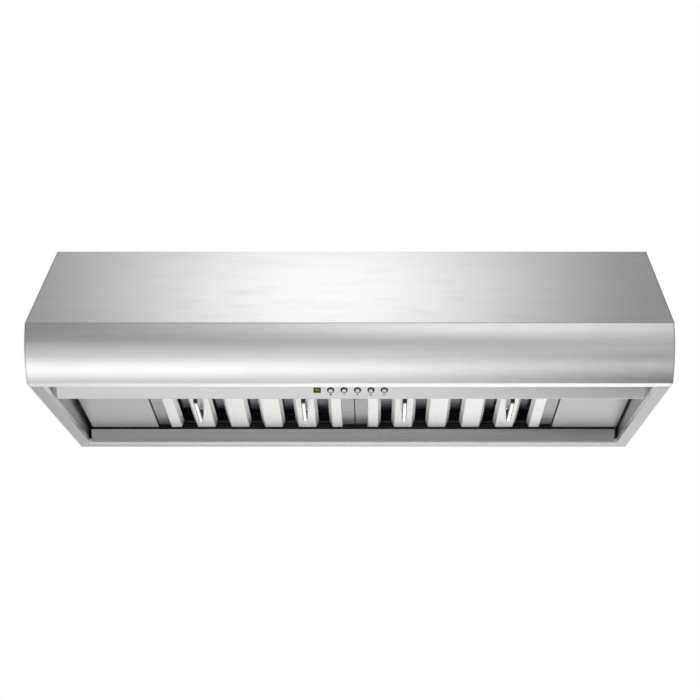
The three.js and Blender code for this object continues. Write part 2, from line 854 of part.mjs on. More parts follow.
function blowerHousing() {

	const { x, y } = BLOWER_AXIS;
	const shell = prismZ( scrollOutline( 0, OUTLET_MOUTH_X ), SCROLL_BASE_Z, SCROLL_TOP_Z );
	const hollow = prismZ( scrollOutline( SCROLL_SHEET, OUTLET_MOUTH_X - 5 ),
		SCROLL_BASE_Z + SCROLL_SHEET, SCROLL_TOP_Z - SCROLL_SHEET );
	const inlet = cylinder( x, y, INLET_RADIUS, SCROLL_BASE_Z - 5, SCROLL_BASE_Z + 5 );
	const motorHole = cylinder( x, y, MOTOR_RADIUS + 3, SCROLL_TOP_Z - 5, SCROLL_TOP_Z + 5 );
	let body = cut( shell, [ hollow, inlet, motorHole ] );
	for ( const angle of HANGER_ANGLES ) {

		const a = THREE.MathUtils.degToRad( angle );
		const px = x + HANGER_RADIUS * Math.cos( a );
		const py = y + HANGER_RADIUS * Math.sin( a );
		body = body.add( box( px - 9, px + 9, py - 1, py + 1, SCROLL_TOP_Z - 1, TOP_INSIDE_Z ) );

	}

	return body;

}

function inletRing() {

	const { x, y } = BLOWER_AXIS;
	const seat = SCROLL_BASE_Z - GAP;
	const rim = INLET_RADIUS + INLET_FLANGE;
	const throat = INLET_RADIUS - 5;
	const throatBase = SCROLL_BASE_Z + 3;
	const throatTop = SCROLL_BASE_Z + 6;
	const profile = [
		[ rim, seat ],
		[ rim, seat - INLET_SHEET ],
		[ INLET_RADIUS + 4, seat - 2 * INLET_SHEET ],
		[ INLET_RADIUS - 2, seat - INLET_SHEET ],
		[ throat, throatBase ],
		[ throat, throatTop ],
		[ throat + INLET_SHEET, throatTop ],
		[ throat + INLET_SHEET, throatBase ],
		[ INLET_RADIUS - INLET_SHEET, seat ],
		[ rim, seat ],
	].map( ( [ a, b ] ) => new THREE.Vector2( a, b ) );
	const geometry = new THREE.LatheGeometry( profile.reverse(), ROUND );
	geometry.rotateX( Math.PI / 2 );
	geometry.translate( x, y, 0 );
	return solid( geometry );

}

function impeller() {

	const { x, y } = BLOWER_AXIS;
	const pieces = [
		ring( x, y, IMPELLER_RADIUS, BLADE_INNER_RADIUS, IMPELLER_BASE_Z, IMPELLER_BASE_Z + 3 ),
		cylinder( x, y, IMPELLER_RADIUS, IMPELLER_TOP_Z - 2.5, IMPELLER_TOP_Z ),
		cylinder( x, y, 14, IMPELLER_TOP_Z - 16, IMPELLER_TOP_Z, SMALL_ROUND ),
	];
	const depth = IMPELLER_RADIUS - BLADE_INNER_RADIUS;
	for ( let i = 0; i < BLADE_COUNT; i ++ ) {

		const start = 2 * Math.PI * i / BLADE_COUNT;
		const at = ( fraction, lean, thickness ) => {

			const radius = BLADE_INNER_RADIUS + 1 + ( depth - 2 ) * fraction;
			const angle = start + ( lean + thickness ) / radius;
			return [ x + radius * Math.cos( angle ), y + radius * Math.sin( angle ) ];

		};

		const outline = [
			at( 0, 0, 0 ), at( 0.5, 1.5, 0 ), at( 1, 7, 0 ),
			at( 1, 7, 1.4 ), at( 0.5, 1.5, 1.4 ), at( 0, 0, 1.4 ),
		];
		pieces.push( prismZ( outline, IMPELLER_BASE_Z + 1, IMPELLER_TOP_Z - 1 ) );

	}

	const bore = cylinder( x, y, SHAFT_RADIUS + GAP, IMPELLER_TOP_Z - 20, IMPELLER_TOP_Z + 5, SMALL_ROUND );
	return join( pieces ).subtract( bore );

}

function motor() {

	const { x, y } = BLOWER_AXIS;
	const flangeZ = SCROLL_TOP_Z + GAP;
	const can = cylinder( x, y, MOTOR_RADIUS, MOTOR_BASE_Z, MOTOR_TOP_Z - 6 );
	const cap = cylinder( x, y, MOTOR_RADIUS - 9, MOTOR_TOP_Z - 7, MOTOR_TOP_Z );
	const boss = cylinder( x, y, 13, MOTOR_BASE_Z - 3, MOTOR_BASE_Z + 1, SMALL_ROUND );
	const flange = cylinder( x, y, MOTOR_RADIUS + 20, flangeZ, flangeZ + 2 );
	return join( [ can, cap, boss, flange ] );

}

function motorShaft() {

	const { x, y } = BLOWER_AXIS;
	return cylinder( x, y, SHAFT_RADIUS, IMPELLER_TOP_Z - 19, MOTOR_BASE_Z - 3 - GAP, SMALL_ROUND );

}

// ---------------------------------------------------------------- outlet and damper

function outletBox() {

	const half = OUTLET_MOUTH_X - 2;
	const front = DUCT_CENTRE_Y - OUTLET_BOX_HALF_DEPTH;
	const back = DUCT_CENTRE_Y + OUTLET_BOX_HALF_DEPTH;
	const top = TOP_INSIDE_Z - SHEET - GAP; // under the collar's flange
	const t = SCROLL_SHEET;
	const shell = box( - half, half, front, back, SCROLL_BASE_Z, top );
	const hollow = box( - half + t, half - t, front + t, back - t, SCROLL_BASE_Z + t, top - t );
	const mouthBack = BLOWER_AXIS.y + SCROLL_MAX_RADIUS - SCROLL_SHEET;
	const mouthFront = mouthBack - OUTLET_MOUTH_DEPTH + 2 * SCROLL_SHEET;
	const mouths = box( - half - 5, half + 5, mouthFront, mouthBack,
		SCROLL_BASE_Z + SCROLL_SHEET + 1, SCROLL_TOP_Z - SCROLL_SHEET );
	const port = cylinder( 0, DUCT_CENTRE_Y, COLLAR_RADIUS - 2, top - 5, top + 5 );
	return cut( shell, [ hollow, mouths, port ] );

}

// The collar comes up through the top panel, with its flange held under the panel.
function ductCollar() {

	const base = TOP_INSIDE_Z - SHEET;
	const inner = COLLAR_RADIUS - SHEET;
	const reach = COLLAR_RADIUS + COLLAR_FLANGE;
	const flange = ring( 0, DUCT_CENTRE_Y, reach, inner, base, TOP_INSIDE_Z );
	const clip = box( - reach - 1, reach + 1, COLLAR_FLANGE_BACK_Y, HALF_DEPTH + 1, base - 1, TOP_INSIDE_Z + 1 );
	const wall = ring( 0, DUCT_CENTRE_Y, COLLAR_RADIUS, inner, base, COLLAR_TOP_Z );
	return flange.subtract( clip ).add( wall );

}

function damperFlap( side ) {

	const radius = COLLAR_RADIUS - SHEET - 3;
	const disc = cylinder( 0, DUCT_CENTRE_Y, radius, DAMPER_Z, DAMPER_Z + FLAP_THICKNESS );
	const edges = [ DUCT_CENTRE_Y + side * ( PIN_RADIUS + 1 ), DUCT_CENTRE_Y + side * COLLAR_RADIUS ];
	const keep = box( - COLLAR_RADIUS, COLLAR_RADIUS, Math.min( ...edges ), Math.max( ...edges ),
		DAMPER_Z - 1, DAMPER_Z + FLAP_THICKNESS + 1 );
	return disc.intersect( keep );

}

function damperPin() {

	const reach = COLLAR_RADIUS - SHEET - GAP;
	const geometry = new THREE.CylinderGeometry( PIN_RADIUS, PIN_RADIUS, 2 * reach, 12 );
	geometry.rotateZ( Math.PI / 2 );
	geometry.translate( 0, DUCT_CENTRE_Y, DAMPER_Z + FLAP_THICKNESS / 2 );
	return geometryOf( solid( geometry ) );

}

// ---------------------------------------------------------------- wiring

function wiringBox() {

	const b = WIRING_BOX;
	const t = WIRING_SHEET;
	const { x, y } = GLAND_CENTRE;
	const shell = box( b.x0, b.x1, b.y0, b.y1, b.z0, b.z1 );
	const hollow = box( b.x0 + t, b.x1 - t, b.y0 + t, b.y1 - t, b.z0 - 1, b.z1 - t );
	const entry = cylinder( x, y, GLAND_HOLE_RADIUS, b.z1 - TOP_HOLE_DEPTH, b.z1 + TOP_HOLE_DEPTH, SMALL_ROUND );
	return cut( shell, [ hollow, entry ] );

}

function wiringBoxCover() {

	const b = WIRING_BOX;
	return box( b.x0, b.x1, b.y0, b.y1, b.z0 - WIRING_SHEET - GAP, b.z0 - GAP );

}

// The gland's lip is inside the wiring box and its neck fills the hole, flush with the top panel.
function cableGland() {

	const { x, y } = GLAND_CENTRE;
	const lipTop = WIRING_BOX.z1 - WIRING_SHEET - GAP;
	const lipBase = lipTop - 3;
	const lip = ring( x, y, GLAND_HOLE_RADIUS + GLAND_LIP, GLAND_BORE, lipBase, lipTop, SMALL_ROUND );
	const neck = ring( x, y, GLAND_HOLE_RADIUS - GAP, GLAND_BORE, lipBase, HEIGHT, SMALL_ROUND );
	return lip.add( neck );

}

function capacitor() {

	const c = CAPACITOR;
	const geometry = new THREE.CylinderGeometry( c.radius, c.radius, c.length, SMALL_ROUND );
	geometry.rotateZ( Math.PI / 2 );
	geometry.translate( c.x, c.y, c.z );
	return geometryOf( solid( geometry ) );

}

function capacitorClip() {

	const c = CAPACITOR;
	const half = CLIP.width / 2;
	const inner = c.radius + GAP;
	const outer = inner + CLIP.sheet;
	const band = new THREE.CylinderGeometry( outer, outer, CLIP.width, SMALL_ROUND );
	const bore = new THREE.CylinderGeometry( inner, inner, CLIP.width + 4, SMALL_ROUND );
	for ( const geometry of [ band, bore ] ) {

		geometry.rotateZ( Math.PI / 2 );
		geometry.translate( c.x, c.y, c.z );

	}

	const footBase = TOP_INSIDE_Z - CLIP.sheet;
	const stem = box( c.x - half, c.x + half, c.y - 1, c.y + 1, c.z + c.radius + 1, footBase );
	const foot = box( c.x - half, c.x + half, c.y - 1, c.y + CLIP.foot, footBase, TOP_INSIDE_Z );
	return solid( band ).add( stem ).subtract( solid( bore ) ).add( foot );

}

function powerBoard() {

	const p = POWER_BOARD;
	const board = box( p.x0, p.x1, p.y0, p.y1, p.z, p.z + p.thickness );
	const components = POWER_COMPONENTS.map( ( c ) => box( c.x0, c.x1, c.y0, c.y1, c.z, p.z + 0.5 ) );
	return join( [ board, ...components ] );

}

// ---------------------------------------------------------------- assembly

add( 'front_wrapper', frontWrapper(), steel );
add( 'top_panel', topPanel(), steel );
add( 'back_panel', backPanel(), steel );
addPair( 'side_panel', sidePanel(), steel );
addPair( 'liner', liner(), linerSteel );
addControls();
addFilters();
add( 'front_rail', frontRail(), galvanised );
add( 'rear_rail', rearRail(), galvanised );
add( 'rear_strip', rearStrip(), steel );
add( 'left_filter_catch', filterCatch( FILTER_CENTRES.left ), magnetGrey );
add( 'right_filter_catch', filterCatch( FILTER_CENTRES.right ), magnetGrey );
addPair( 'blower_housing', blowerHousing(), galvanised );
addPair( 'inlet_ring', inletRing(), galvanised );
addPair( 'impeller', impeller(), impellerSteel );
addPair( 'motor', motor(), motorSteel );
addPair( 'motor_shaft', motorShaft(), chrome );
add( 'outlet_box', outletBox(), galvanised );
add( 'duct_collar', ductCollar(), galvanised );
add( 'front_damper_flap', damperFlap( - 1 ), galvanised );
add( 'rear_damper_flap', damperFlap( 1 ), galvanised );
add( 'damper_pin', damperPin(), chrome );
add( 'wiring_box', wiringBox(), galvanised );
add( 'wiring_box_cover', wiringBoxCover(), galvanised );
add( 'cable_gland', cableGland(), blackPlastic );
add( 'capacitor', capacitor(), greyPlastic );
add( 'capacitor_clip', capacitorClip(), galvanised );
add( 'power_board', powerBoard(), circuitGreen );

export default hood;
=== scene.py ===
import math
import bmesh
import bpy
from mathutils import Matrix, Vector


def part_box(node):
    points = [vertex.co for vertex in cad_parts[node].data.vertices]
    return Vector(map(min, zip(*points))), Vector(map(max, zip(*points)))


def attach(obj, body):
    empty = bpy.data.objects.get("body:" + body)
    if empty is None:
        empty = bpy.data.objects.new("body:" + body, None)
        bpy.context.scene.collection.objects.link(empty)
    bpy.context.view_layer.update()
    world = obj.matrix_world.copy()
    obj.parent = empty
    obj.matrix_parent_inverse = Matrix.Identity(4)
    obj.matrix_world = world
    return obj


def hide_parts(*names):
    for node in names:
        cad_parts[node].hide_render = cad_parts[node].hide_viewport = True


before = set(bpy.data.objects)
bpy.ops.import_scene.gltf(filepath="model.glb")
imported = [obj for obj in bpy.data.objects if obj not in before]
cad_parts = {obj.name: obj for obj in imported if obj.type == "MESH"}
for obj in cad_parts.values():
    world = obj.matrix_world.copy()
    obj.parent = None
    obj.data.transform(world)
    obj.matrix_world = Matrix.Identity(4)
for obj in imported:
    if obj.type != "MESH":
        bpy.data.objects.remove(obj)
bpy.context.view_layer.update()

# The under-cabinet range hood as it is made: folded brushed sheet, welded baffle filters,
# chrome handles, a push-button strip, two blowers and the duct collar.
# Shapes are drawn in millimetres in a plane of their own and placed in the hood's frame:
# X to the right, Y to the back, Z up, from the middle of the lower rim.

MM = 0.001
SHEET = 1.2
GAP = 0.3
HALF_WIDTH = 1000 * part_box("right_side_panel")[1].x
HALF_DEPTH = 1000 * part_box("back_panel")[1].y
TOP = 1000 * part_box("top_panel")[1].z
INNER_HALF = HALF_WIDTH - SHEET - GAP
UNDER_TOP = TOP - SHEET - GAP
RIM_FRONT = -246.0
FRONT_LIP = 26.0
SIDE_LIP = 19.0
REAR_LIP = 34.0
HEM = 8.0
TOP_FRONT = -30.0
TOP_FLANGE = 16.0
NOSE = {"y": -195.0, "z": 68.0, "radius": 85.0, "crease": 80.0}
STRIP_HALF = 431.0
LINER_HALF = 436.5
LINER_TOP = 96.0
STRIP_EDGE = (-116.0, 2.0)
STRIP_ANGLE = math.radians(40)
STRIP_WIDTH = 62.0
BUTTON_PITCH = 19.7
BUTTON_ROW = 18.5
FILTER_TILT = math.atan(0.09)
FILTER_SIDE = 321.0
FILTER_HEIGHT = 22.0
FILTER_CENTRES = {"left": -157.5, "right": 164.5}
BAR_PITCH = 55.2
BAR_FLAT = 28.0
BAR_CHAMFER = 5.0
BAR_HEIGHT = 8.0
END_STRIP = 21.0
BLOWER = {"x": 218.0, "y": 112.0}
DUCT_Y = 170.0
COLLAR = 89.0

FILTER_PLANE = Matrix.Translation((0, -97.0, 52.2)) @ Matrix.Rotation(-FILTER_TILT, 4, "X")
CONTROL_PLANE = (
    Matrix.Translation((0, STRIP_EDGE[0], STRIP_EDGE[1]))
    @ Matrix.Rotation(math.pi - STRIP_ANGLE, 4, "X")
)
COLLECTION = bpy.context.scene.collection


# ------------------------------------------------------------------ camera


CAMERA = {"lens": 99.5, "shift": -0.0323, "x": 0.032, "before_rim": 2.663, "z": -0.5465, "tilt": 12.59}


def make_camera():
    """A long lens in front of the hood and below its rim, tilted up."""
    data = bpy.data.cameras.new("camera")
    data.lens = CAMERA["lens"]
    data.sensor_width = 36.0
    data.shift_x = CAMERA["shift"]
    data.clip_start = 0.1
    data.clip_end = 50.0
    camera = bpy.data.objects.new("camera", data)
    camera.location = (CAMERA["x"], RIM_FRONT * MM - CAMERA["before_rim"], CAMERA["z"])
    camera.rotation_euler = (math.radians(90 + CAMERA["tilt"]), 0, 0)
    COLLECTION.objects.link(camera)
    bpy.context.scene.camera = camera


make_camera()


# ------------------------------------------------------------------ shader groups


FLOAT, VECTOR = "NodeSocketFloat", "NodeSocketVector"
FINE_LINES = (5, 900, 900)
BROAD_LINES = (1.3, 150, 150)
WIPES = {"scale": (14, 40, 26), "turn": (0.4, 0.2, 0.9), "level": 0.52, "gain": 5.0}


def set_value(node, name, value):
    node.inputs[name].default_value = value


def shader_group(name, inputs, outputs):
    """An empty shader node group with its sockets; returns the tree and its two end nodes."""
    tree = bpy.data.node_groups.new(name, "ShaderNodeTree")
    for label, kind, default in inputs:
        socket = tree.interface.new_socket(label, in_out="INPUT", socket_type=kind)
        if default is not None:
            socket.default_value = default
    for label, kind in outputs:
        tree.interface.new_socket(label, in_out="OUTPUT", socket_type=kind)
    return tree, tree.nodes.new("NodeGroupInput"), tree.nodes.new("NodeGroupOutput")


def math_node(tree, operation, a, b=None, c=None):
    node = tree.nodes.new("ShaderNodeMath")
    node.operation = operation
    for socket, source in zip(node.inputs, (a, b, c)):
        if source is None:
            continue
        if isinstance(source, (int, float)):
            socket.default_value = source
        else:
            tree.links.new(source, socket)
    return node.outputs[0]


def noise_node(tree, vector, scale, detail=2.0, roughness=0.5):
    node = tree.nodes.new("ShaderNodeTexNoise")
    set_value(node, "Scale", scale)
    set_value(node, "Detail", detail)
    set_value(node, "Roughness", roughness)
    tree.links.new(vector, node.inputs["Vector"])
    return node.outputs[0]


def mapping_node(tree, vector, scale, rotation=(0, 0, 0)):
    node = tree.nodes.new("ShaderNodeMapping")
    set_value(node, "Scale", scale)
    set_value(node, "Rotation", rotation)
    tree.links.new(vector, node.inputs["Vector"])
    return node.outputs[0]


def build_brushed_group():
    """Long belt-grinding lines along X: fine ones over broad ones."""
    tree, start, end = shader_group(
        "brushed grain",
        [("Vector", VECTOR, None), ("Depth", FLOAT, 1.0)],
        [("Shade", FLOAT), ("Height", FLOAT)],
    )
    fine = noise_node(tree, mapping_node(tree, start.outputs["Vector"], FINE_LINES), 1.0, 4.0, 0.6)
    broad = noise_node(tree, mapping_node(tree, start.outputs["Vector"], BROAD_LINES), 1.0, 3.0, 0.6)
    mixed = math_node(tree, "MULTIPLY_ADD", fine, 0.6, math_node(tree, "MULTIPLY", broad, 0.4))
    shade = math_node(tree, "MULTIPLY_ADD", math_node(tree, "SUBTRACT", mixed, 0.5), 2.2, 0.5)
    tree.links.new(shade, end.inputs["Shade"])
    tree.links.new(math_node(tree, "MULTIPLY", mixed, start.outputs["Depth"]), end.inputs["Height"])
    return tree


def build_handling_group():
    """Wiping marks that dull the finish a little, and a slow cloud over the whole surface."""
    tree, start, end = shader_group(
        "handling marks",
        [("Vector", VECTOR, None), ("Amount", FLOAT, 1.0)],
        [("Marks", FLOAT), ("Cloud", FLOAT)],
    )
    cloud = noise_node(tree, start.outputs["Vector"], 5.0, 4.0, 0.55)
    streaks = mapping_node(tree, start.outputs["Vector"], WIPES["scale"], WIPES["turn"])
    wipes = noise_node(tree, streaks, 1.0, 3.0)
    above = math_node(tree, "MAXIMUM", math_node(tree, "SUBTRACT", wipes, WIPES["level"]), 0.0)
    marks = math_node(tree, "MULTIPLY", above, math_node(tree, "MULTIPLY", cloud, WIPES["gain"]))
    tree.links.new(math_node(tree, "MULTIPLY", marks, start.outputs["Amount"]), end.inputs["Marks"])
    tree.links.new(cloud, end.inputs["Cloud"])
    return tree


def build_spangle_group():
    """Crystal flakes of a zinc coating."""
    tree, start, end = shader_group(
        "zinc spangle",
        [("Vector", VECTOR, None), ("Flakes", FLOAT, 160.0)],
        [("Shade", FLOAT)],
    )
    cells = tree.nodes.new("ShaderNodeTexVoronoi")
    tree.links.new(start.outputs["Vector"], cells.inputs["Vector"])
    tree.links.new(start.outputs["Flakes"], cells.inputs["Scale"])
    split = tree.nodes.new("ShaderNodeSeparateColor")
    tree.links.new(cells.outputs["Color"], split.inputs[0])
    tree.links.new(split.outputs[0], end.inputs["Shade"])
    return tree


def build_speckle_group():
    """Fine moulded or sprayed texture."""
    tree, start, end = shader_group(
        "fine texture",
        [("Vector", VECTOR, None), ("Grain", FLOAT, 2500.0)],
        [("Shade", FLOAT), ("Height", FLOAT)],
    )
    grain = tree.nodes.new("ShaderNodeTexNoise")
    tree.links.new(start.outputs["Vector"], grain.inputs["Vector"])
    tree.links.new(start.outputs["Grain"], grain.inputs["Scale"])
    tree.links.new(noise_node(tree, start.outputs["Vector"], 30.0, 3.0), end.inputs["Shade"])
    tree.links.new(grain.outputs[0], end.inputs["Height"])
    return tree


BRUSHED = build_brushed_group()
HANDLING = build_handling_group()
SPANGLE = build_spangle_group()
SPECKLE = build_speckle_group()


# ------------------------------------------------------------------ materials


def blank_material(name):
    material = bpy.data.materials.new(name)
    material.use_nodes = True
    tree = material.node_tree
    shader = tree.nodes["Principled BSDF"]
    place = tree.nodes.new("ShaderNodeTexCoord")
    return material, tree, shader, place.outputs["Object"]


def use_group(tree, group, vector, **values):
    node = tree.nodes.new("ShaderNodeGroup")
    node.node_tree = group
    tree.links.new(vector, node.inputs["Vector"])
    for label, value in values.items():
        set_value(node, label, value)
    return node


def ramp_colour(tree, value, dark, light):
    node = tree.nodes.new("ShaderNodeMix")
    node.data_type = "RGBA"
    tree.links.new(value, node.inputs["Factor"])
    node.inputs[6].default_value = (*dark, 1)
    node.inputs[7].default_value = (*light, 1)
    return node.outputs[2]


def ramp_value(tree, value, low, high, start=0.0, stop=1.0, smooth=False):
    """Goes from low to high while the value goes from start to stop."""
    node = tree.nodes.new("ShaderNodeMapRange")
    if smooth:
        node.interpolation_type = "SMOOTHSTEP"
    tree.links.new(value, node.inputs["Value"])
    set_value(node, "From Min", start)
    set_value(node, "From Max", stop)
    set_value(node, "To Min", low)
    set_value(node, "To Max", high)
    return node.outputs[0]


def bump(tree, height, distance, strength=1.0):
    node = tree.nodes.new("ShaderNodeBump")
    set_value(node, "Strength", strength)
    set_value(node, "Distance", distance)
    tree.links.new(height, node.inputs["Height"])
    return node.outputs["Normal"]


def marked(tree, touched, share, base):
    """A roughness with a share of the handling marks added to it."""
    return math_node(tree, "MULTIPLY_ADD", touched.outputs["Marks"], share, base)


def brushed_steel(name, dark, light, rough, depth=1.0, grain=(0, 0, 0), marks=1.0):
    """Belt-ground sheet; grain turns the lines away from X."""
    material, tree, shader, place = blank_material(name)
    lines = use_group(tree, BRUSHED, mapping_node(tree, place, (1, 1, 1), grain), Depth=depth)
    touched = use_group(tree, HANDLING, place, Amount=marks)
    set_value(shader, "Metallic", 1.0)
    tree.links.new(ramp_colour(tree, lines.outputs["Shade"], dark, light), shader.inputs["Base Color"])
    dulled = marked(tree, touched, 0.1, ramp_value(tree, lines.outputs["Shade"], *rough))
    clouded = math_node(tree, "MULTIPLY_ADD", touched.outputs["Cloud"], 0.03, dulled)
    tree.links.new(clouded, shader.inputs["Roughness"])
    tree.links.new(bump(tree, lines.outputs["Height"], 0.00004, 0.5), shader.inputs["Normal"])
    return material


def polish(tree, shader, place, rough, marks):
    """Smooth metal with wiping marks and a faint waviness; returns its slow cloud."""
    touched = use_group(tree, HANDLING, place, Amount=marks)
    set_value(shader, "Metallic", 1.0)
    tree.links.new(marked(tree, touched, 0.3, rough), shader.inputs["Roughness"])
    tree.links.new(bump(tree, touched.outputs["Cloud"], 0.0002, 0.1), shader.inputs["Normal"])
    return touched.outputs["Cloud"]


def polished_metal(name, dark, light, rough):
    material, tree, shader, place = blank_material(name)
    cloud = polish(tree, shader, place, rough, 1.0)
    tree.links.new(ramp_colour(tree, cloud, dark, light), shader.inputs["Base Color"])
    return material


def chrome_with_painted_highlight(name, dark, light, rough, plane, depths):
    """Chrome painted near-black, with a painted highlight along its lowest side; depths are below the plane.
    """
    material, tree, shader, place = blank_material(name)
    polish(tree, shader, place, rough, 1.5)
    down = plane.to_3x3() @ Vector((0, 0, -1))
    level = down.dot(plane.translation) * MM
    depth = tree.nodes.new("ShaderNodeVectorMath")
    depth.operation = "DOT_PRODUCT"
    tree.links.new(place, depth.inputs[0])
    depth.inputs[1].default_value = down
    near, far = (level + value * MM for value in depths)
    highlight_share = ramp_value(tree, depth.outputs["Value"], 0.0, 1.0, near, far)
    tree.links.new(ramp_colour(tree, highlight_share, dark, light), shader.inputs["Base Color"])
    return material


def zinc_sheet(name, dark, light, rough, flakes=160.0):
    material, tree, shader, place = blank_material(name)
    shade = use_group(tree, SPANGLE, place, Flakes=flakes).outputs["Shade"]
    touched = use_group(tree, HANDLING, place, Amount=1.0)
    set_value(shader, "Metallic", 0.85)
    tree.links.new(ramp_colour(tree, shade, dark, light), shader.inputs["Base Color"])
    dulled = marked(tree, touched, 0.3, ramp_value(tree, shade, *rough))
    tree.links.new(dulled, shader.inputs["Roughness"])
    tree.links.new(bump(tree, shade, 0.00003, 0.3), shader.inputs["Normal"])
    return material


def textured_solid(name, dark, light, rough, grain=2500.0, depth=0.00003, metallic=0.0, coat=0.0, gloss=0.5):
    """Moulded plastic, sprayed paint or solder mask."""
    material, tree, shader, place = blank_material(name)
    texture = use_group(tree, SPECKLE, place, Grain=grain)
    set_value(shader, "Metallic", metallic)
    set_value(shader, "Coat Weight", coat)
    set_value(shader, "Specular IOR Level", gloss)
    tree.links.new(ramp_colour(tree, texture.outputs["Shade"], dark, light), shader.inputs["Base Color"])
    tree.links.new(ramp_value(tree, texture.outputs["Shade"], *rough), shader.inputs["Roughness"])
    tree.links.new(bump(tree, texture.outputs["Height"], depth, 0.6), shader.inputs["Normal"])
    return material


def glowing(name, dark, light, strength):
    material, tree, shader, place = blank_material(name)
    texture = use_group(tree, SPECKLE, place, Grain=900.0)
    colour = ramp_colour(tree, texture.outputs["Shade"], dark, light)
    tree.links.new(colour, shader.inputs["Base Color"])
    tree.links.new(colour, shader.inputs["Emission Color"])
    set_value(shader, "Emission Strength", strength)
    set_value(shader, "Roughness", 0.35)
    return material


def clear_window(name, tint, rough, alpha):
    material, tree, shader, place = blank_material(name)
    touched = use_group(tree, HANDLING, place, Amount=1.0)
    shade = tuple(0.8 * channel for channel in tint)
    tree.links.new(ramp_colour(tree, touched.outputs["Cloud"], shade, tint), shader.inputs["Base Color"])
    tree.links.new(marked(tree, touched, 0.2, rough), shader.inputs["Roughness"])
    set_value(shader, "Alpha", alpha)
    material.surface_render_method = "BLENDED"
    return material


# Each finish has its darker and lighter colour and its least and most roughness.

ALONG_DEPTH = {"grain": (0, 0, math.pi / 2)}
LIGHTLY_GROUND = {"depth": 0.25, "marks": 0.3}

CANOPY_STEEL = brushed_steel("canopy steel", (0.56, 0.57, 0.565), (0.66, 0.67, 0.665), (0.24, 0.36))
FASCIA_STEEL = brushed_steel("fascia steel", (0.58, 0.59, 0.6), (0.68, 0.69, 0.7), (0.24, 0.36))
# Painted shade: a darker copy of the canopy steel for the side lips.
SHADED_LIP_STEEL = brushed_steel(
    "shaded lip steel", (0.36, 0.37, 0.36), (0.41, 0.42, 0.41), (0.26, 0.32), **LIGHTLY_GROUND, **ALONG_DEPTH
)
# Painted highlight: a near-white copy of the canopy steel for the front lip's underside and the hems.
PAINTED_HIGHLIGHT_STEEL = brushed_steel("painted highlight steel", (0.9, 0.91, 0.9), (0.95, 0.96, 0.95), (0.24, 0.3), **LIGHTLY_GROUND)
TOP_STEEL = brushed_steel("top steel", (0.5, 0.51, 0.51), (0.6, 0.61, 0.61), (0.3, 0.42))
SIDE_STEEL = brushed_steel("side steel", (0.52, 0.53, 0.53), (0.62, 0.63, 0.63), (0.28, 0.4), **ALONG_DEPTH)
LINER_STEEL = brushed_steel("liner steel", (0.44, 0.42, 0.39), (0.54, 0.52, 0.49), (0.3, 0.42), **ALONG_DEPTH)
STRIP_STEEL = brushed_steel(
    "strip steel", (0.65, 0.66, 0.67), (0.7, 0.71, 0.72), (0.26, 0.31), depth=0.35, marks=0.3
)
# Painted shade: a dark, glossy copy of the strip steel for the rear strip's sloping face.
SHADED_REAR_STEEL = brushed_steel(
    "shaded rear strip steel", (0.23, 0.235, 0.24), (0.3, 0.305, 0.31), (0.1, 0.16), depth=0.3
)
PANEL_STEEL = brushed_steel("panel steel", (0.44, 0.44, 0.43), (0.52, 0.52, 0.51), (0.3, 0.42))
BAFFLE_STEEL = brushed_steel(
    "baffle steel", (0.83, 0.82, 0.8), (0.92, 0.91, 0.89), (0.34, 0.44), depth=0.4, **ALONG_DEPTH
)
# Painted shade: a dark copy of the baffle steel for the filter frame and the tops of the upper bars.
SHADED_FRAME_STEEL = brushed_steel(
    "filter frame steel", (0.2, 0.195, 0.185), (0.29, 0.28, 0.265), (0.16, 0.26), **ALONG_DEPTH
)
# Painted shade: near-black steel for faces that lie in shade.
SHADED_STEEL = brushed_steel("shaded steel", (0.02, 0.02, 0.022), (0.04, 0.04, 0.043), (0.3, 0.4))
# Painted shade: a dark, bluish copy of the baffle steel for the upper baffles, which lie in shade inside the
# hood.
SHADED_UPPER_STEEL = brushed_steel(
    "shaded upper baffle steel", (0.13, 0.14, 0.17), (0.19, 0.2, 0.24), (0.12, 0.2), **ALONG_DEPTH
)
MILL_ALUMINIUM = brushed_steel(
    "mill aluminium", (0.68, 0.69, 0.7), (0.78, 0.79, 0.8), (0.3, 0.42), depth=0.5
)
CHROME = polished_metal("bright chrome", (0.7, 0.7, 0.71), (0.84, 0.84, 0.85), 0.05)
# Painted highlight: the handle chrome is painted near-black, with a bright band painted along the underside
# of each grip.
HANDLE_CHROME = chrome_with_painted_highlight(
    "handle chrome", (0.035, 0.033, 0.03), (0.92, 0.91, 0.88), 0.07, FILTER_PLANE, (20.3, 21.7)
)
PLATED = polished_metal("bright zinc plate", (0.6, 0.61, 0.62), (0.75, 0.76, 0.77), 0.2)
GALVANISED = zinc_sheet("galvanised sheet", (0.36, 0.38, 0.4), (0.56, 0.58, 0.6), (0.32, 0.5))
WHEEL_ZINC = zinc_sheet("wheel zinc", (0.42, 0.44, 0.45), (0.56, 0.58, 0.6), (0.3, 0.44), flakes=90.0)
MOTOR_PAINT = textured_solid(
    "motor paint", (0.018, 0.018, 0.02), (0.035, 0.035, 0.038), (0.4, 0.55), grain=1800.0, depth=0.00004
)
FERRITE = textured_solid("ferrite", (0.03, 0.03, 0.03), (0.06, 0.06, 0.06), (0.5, 0.7), grain=1200.0)
BLACK_PLASTIC = textured_solid(
    "black moulding", (0.004, 0.004, 0.004), (0.01, 0.01, 0.01), (0.4, 0.55), gloss=0.12
)
BUTTON_PLASTIC = textured_solid(
    "button caps",
    (0.62, 0.63, 0.64),
    (0.74, 0.75, 0.76),
    (0.2, 0.32),
    grain=3000.0,
    depth=0.00001,
    metallic=0.5,
)
CAPACITOR_CASE = textured_solid("capacitor case", (0.5, 0.5, 0.48), (0.62, 0.62, 0.6), (0.35, 0.5))
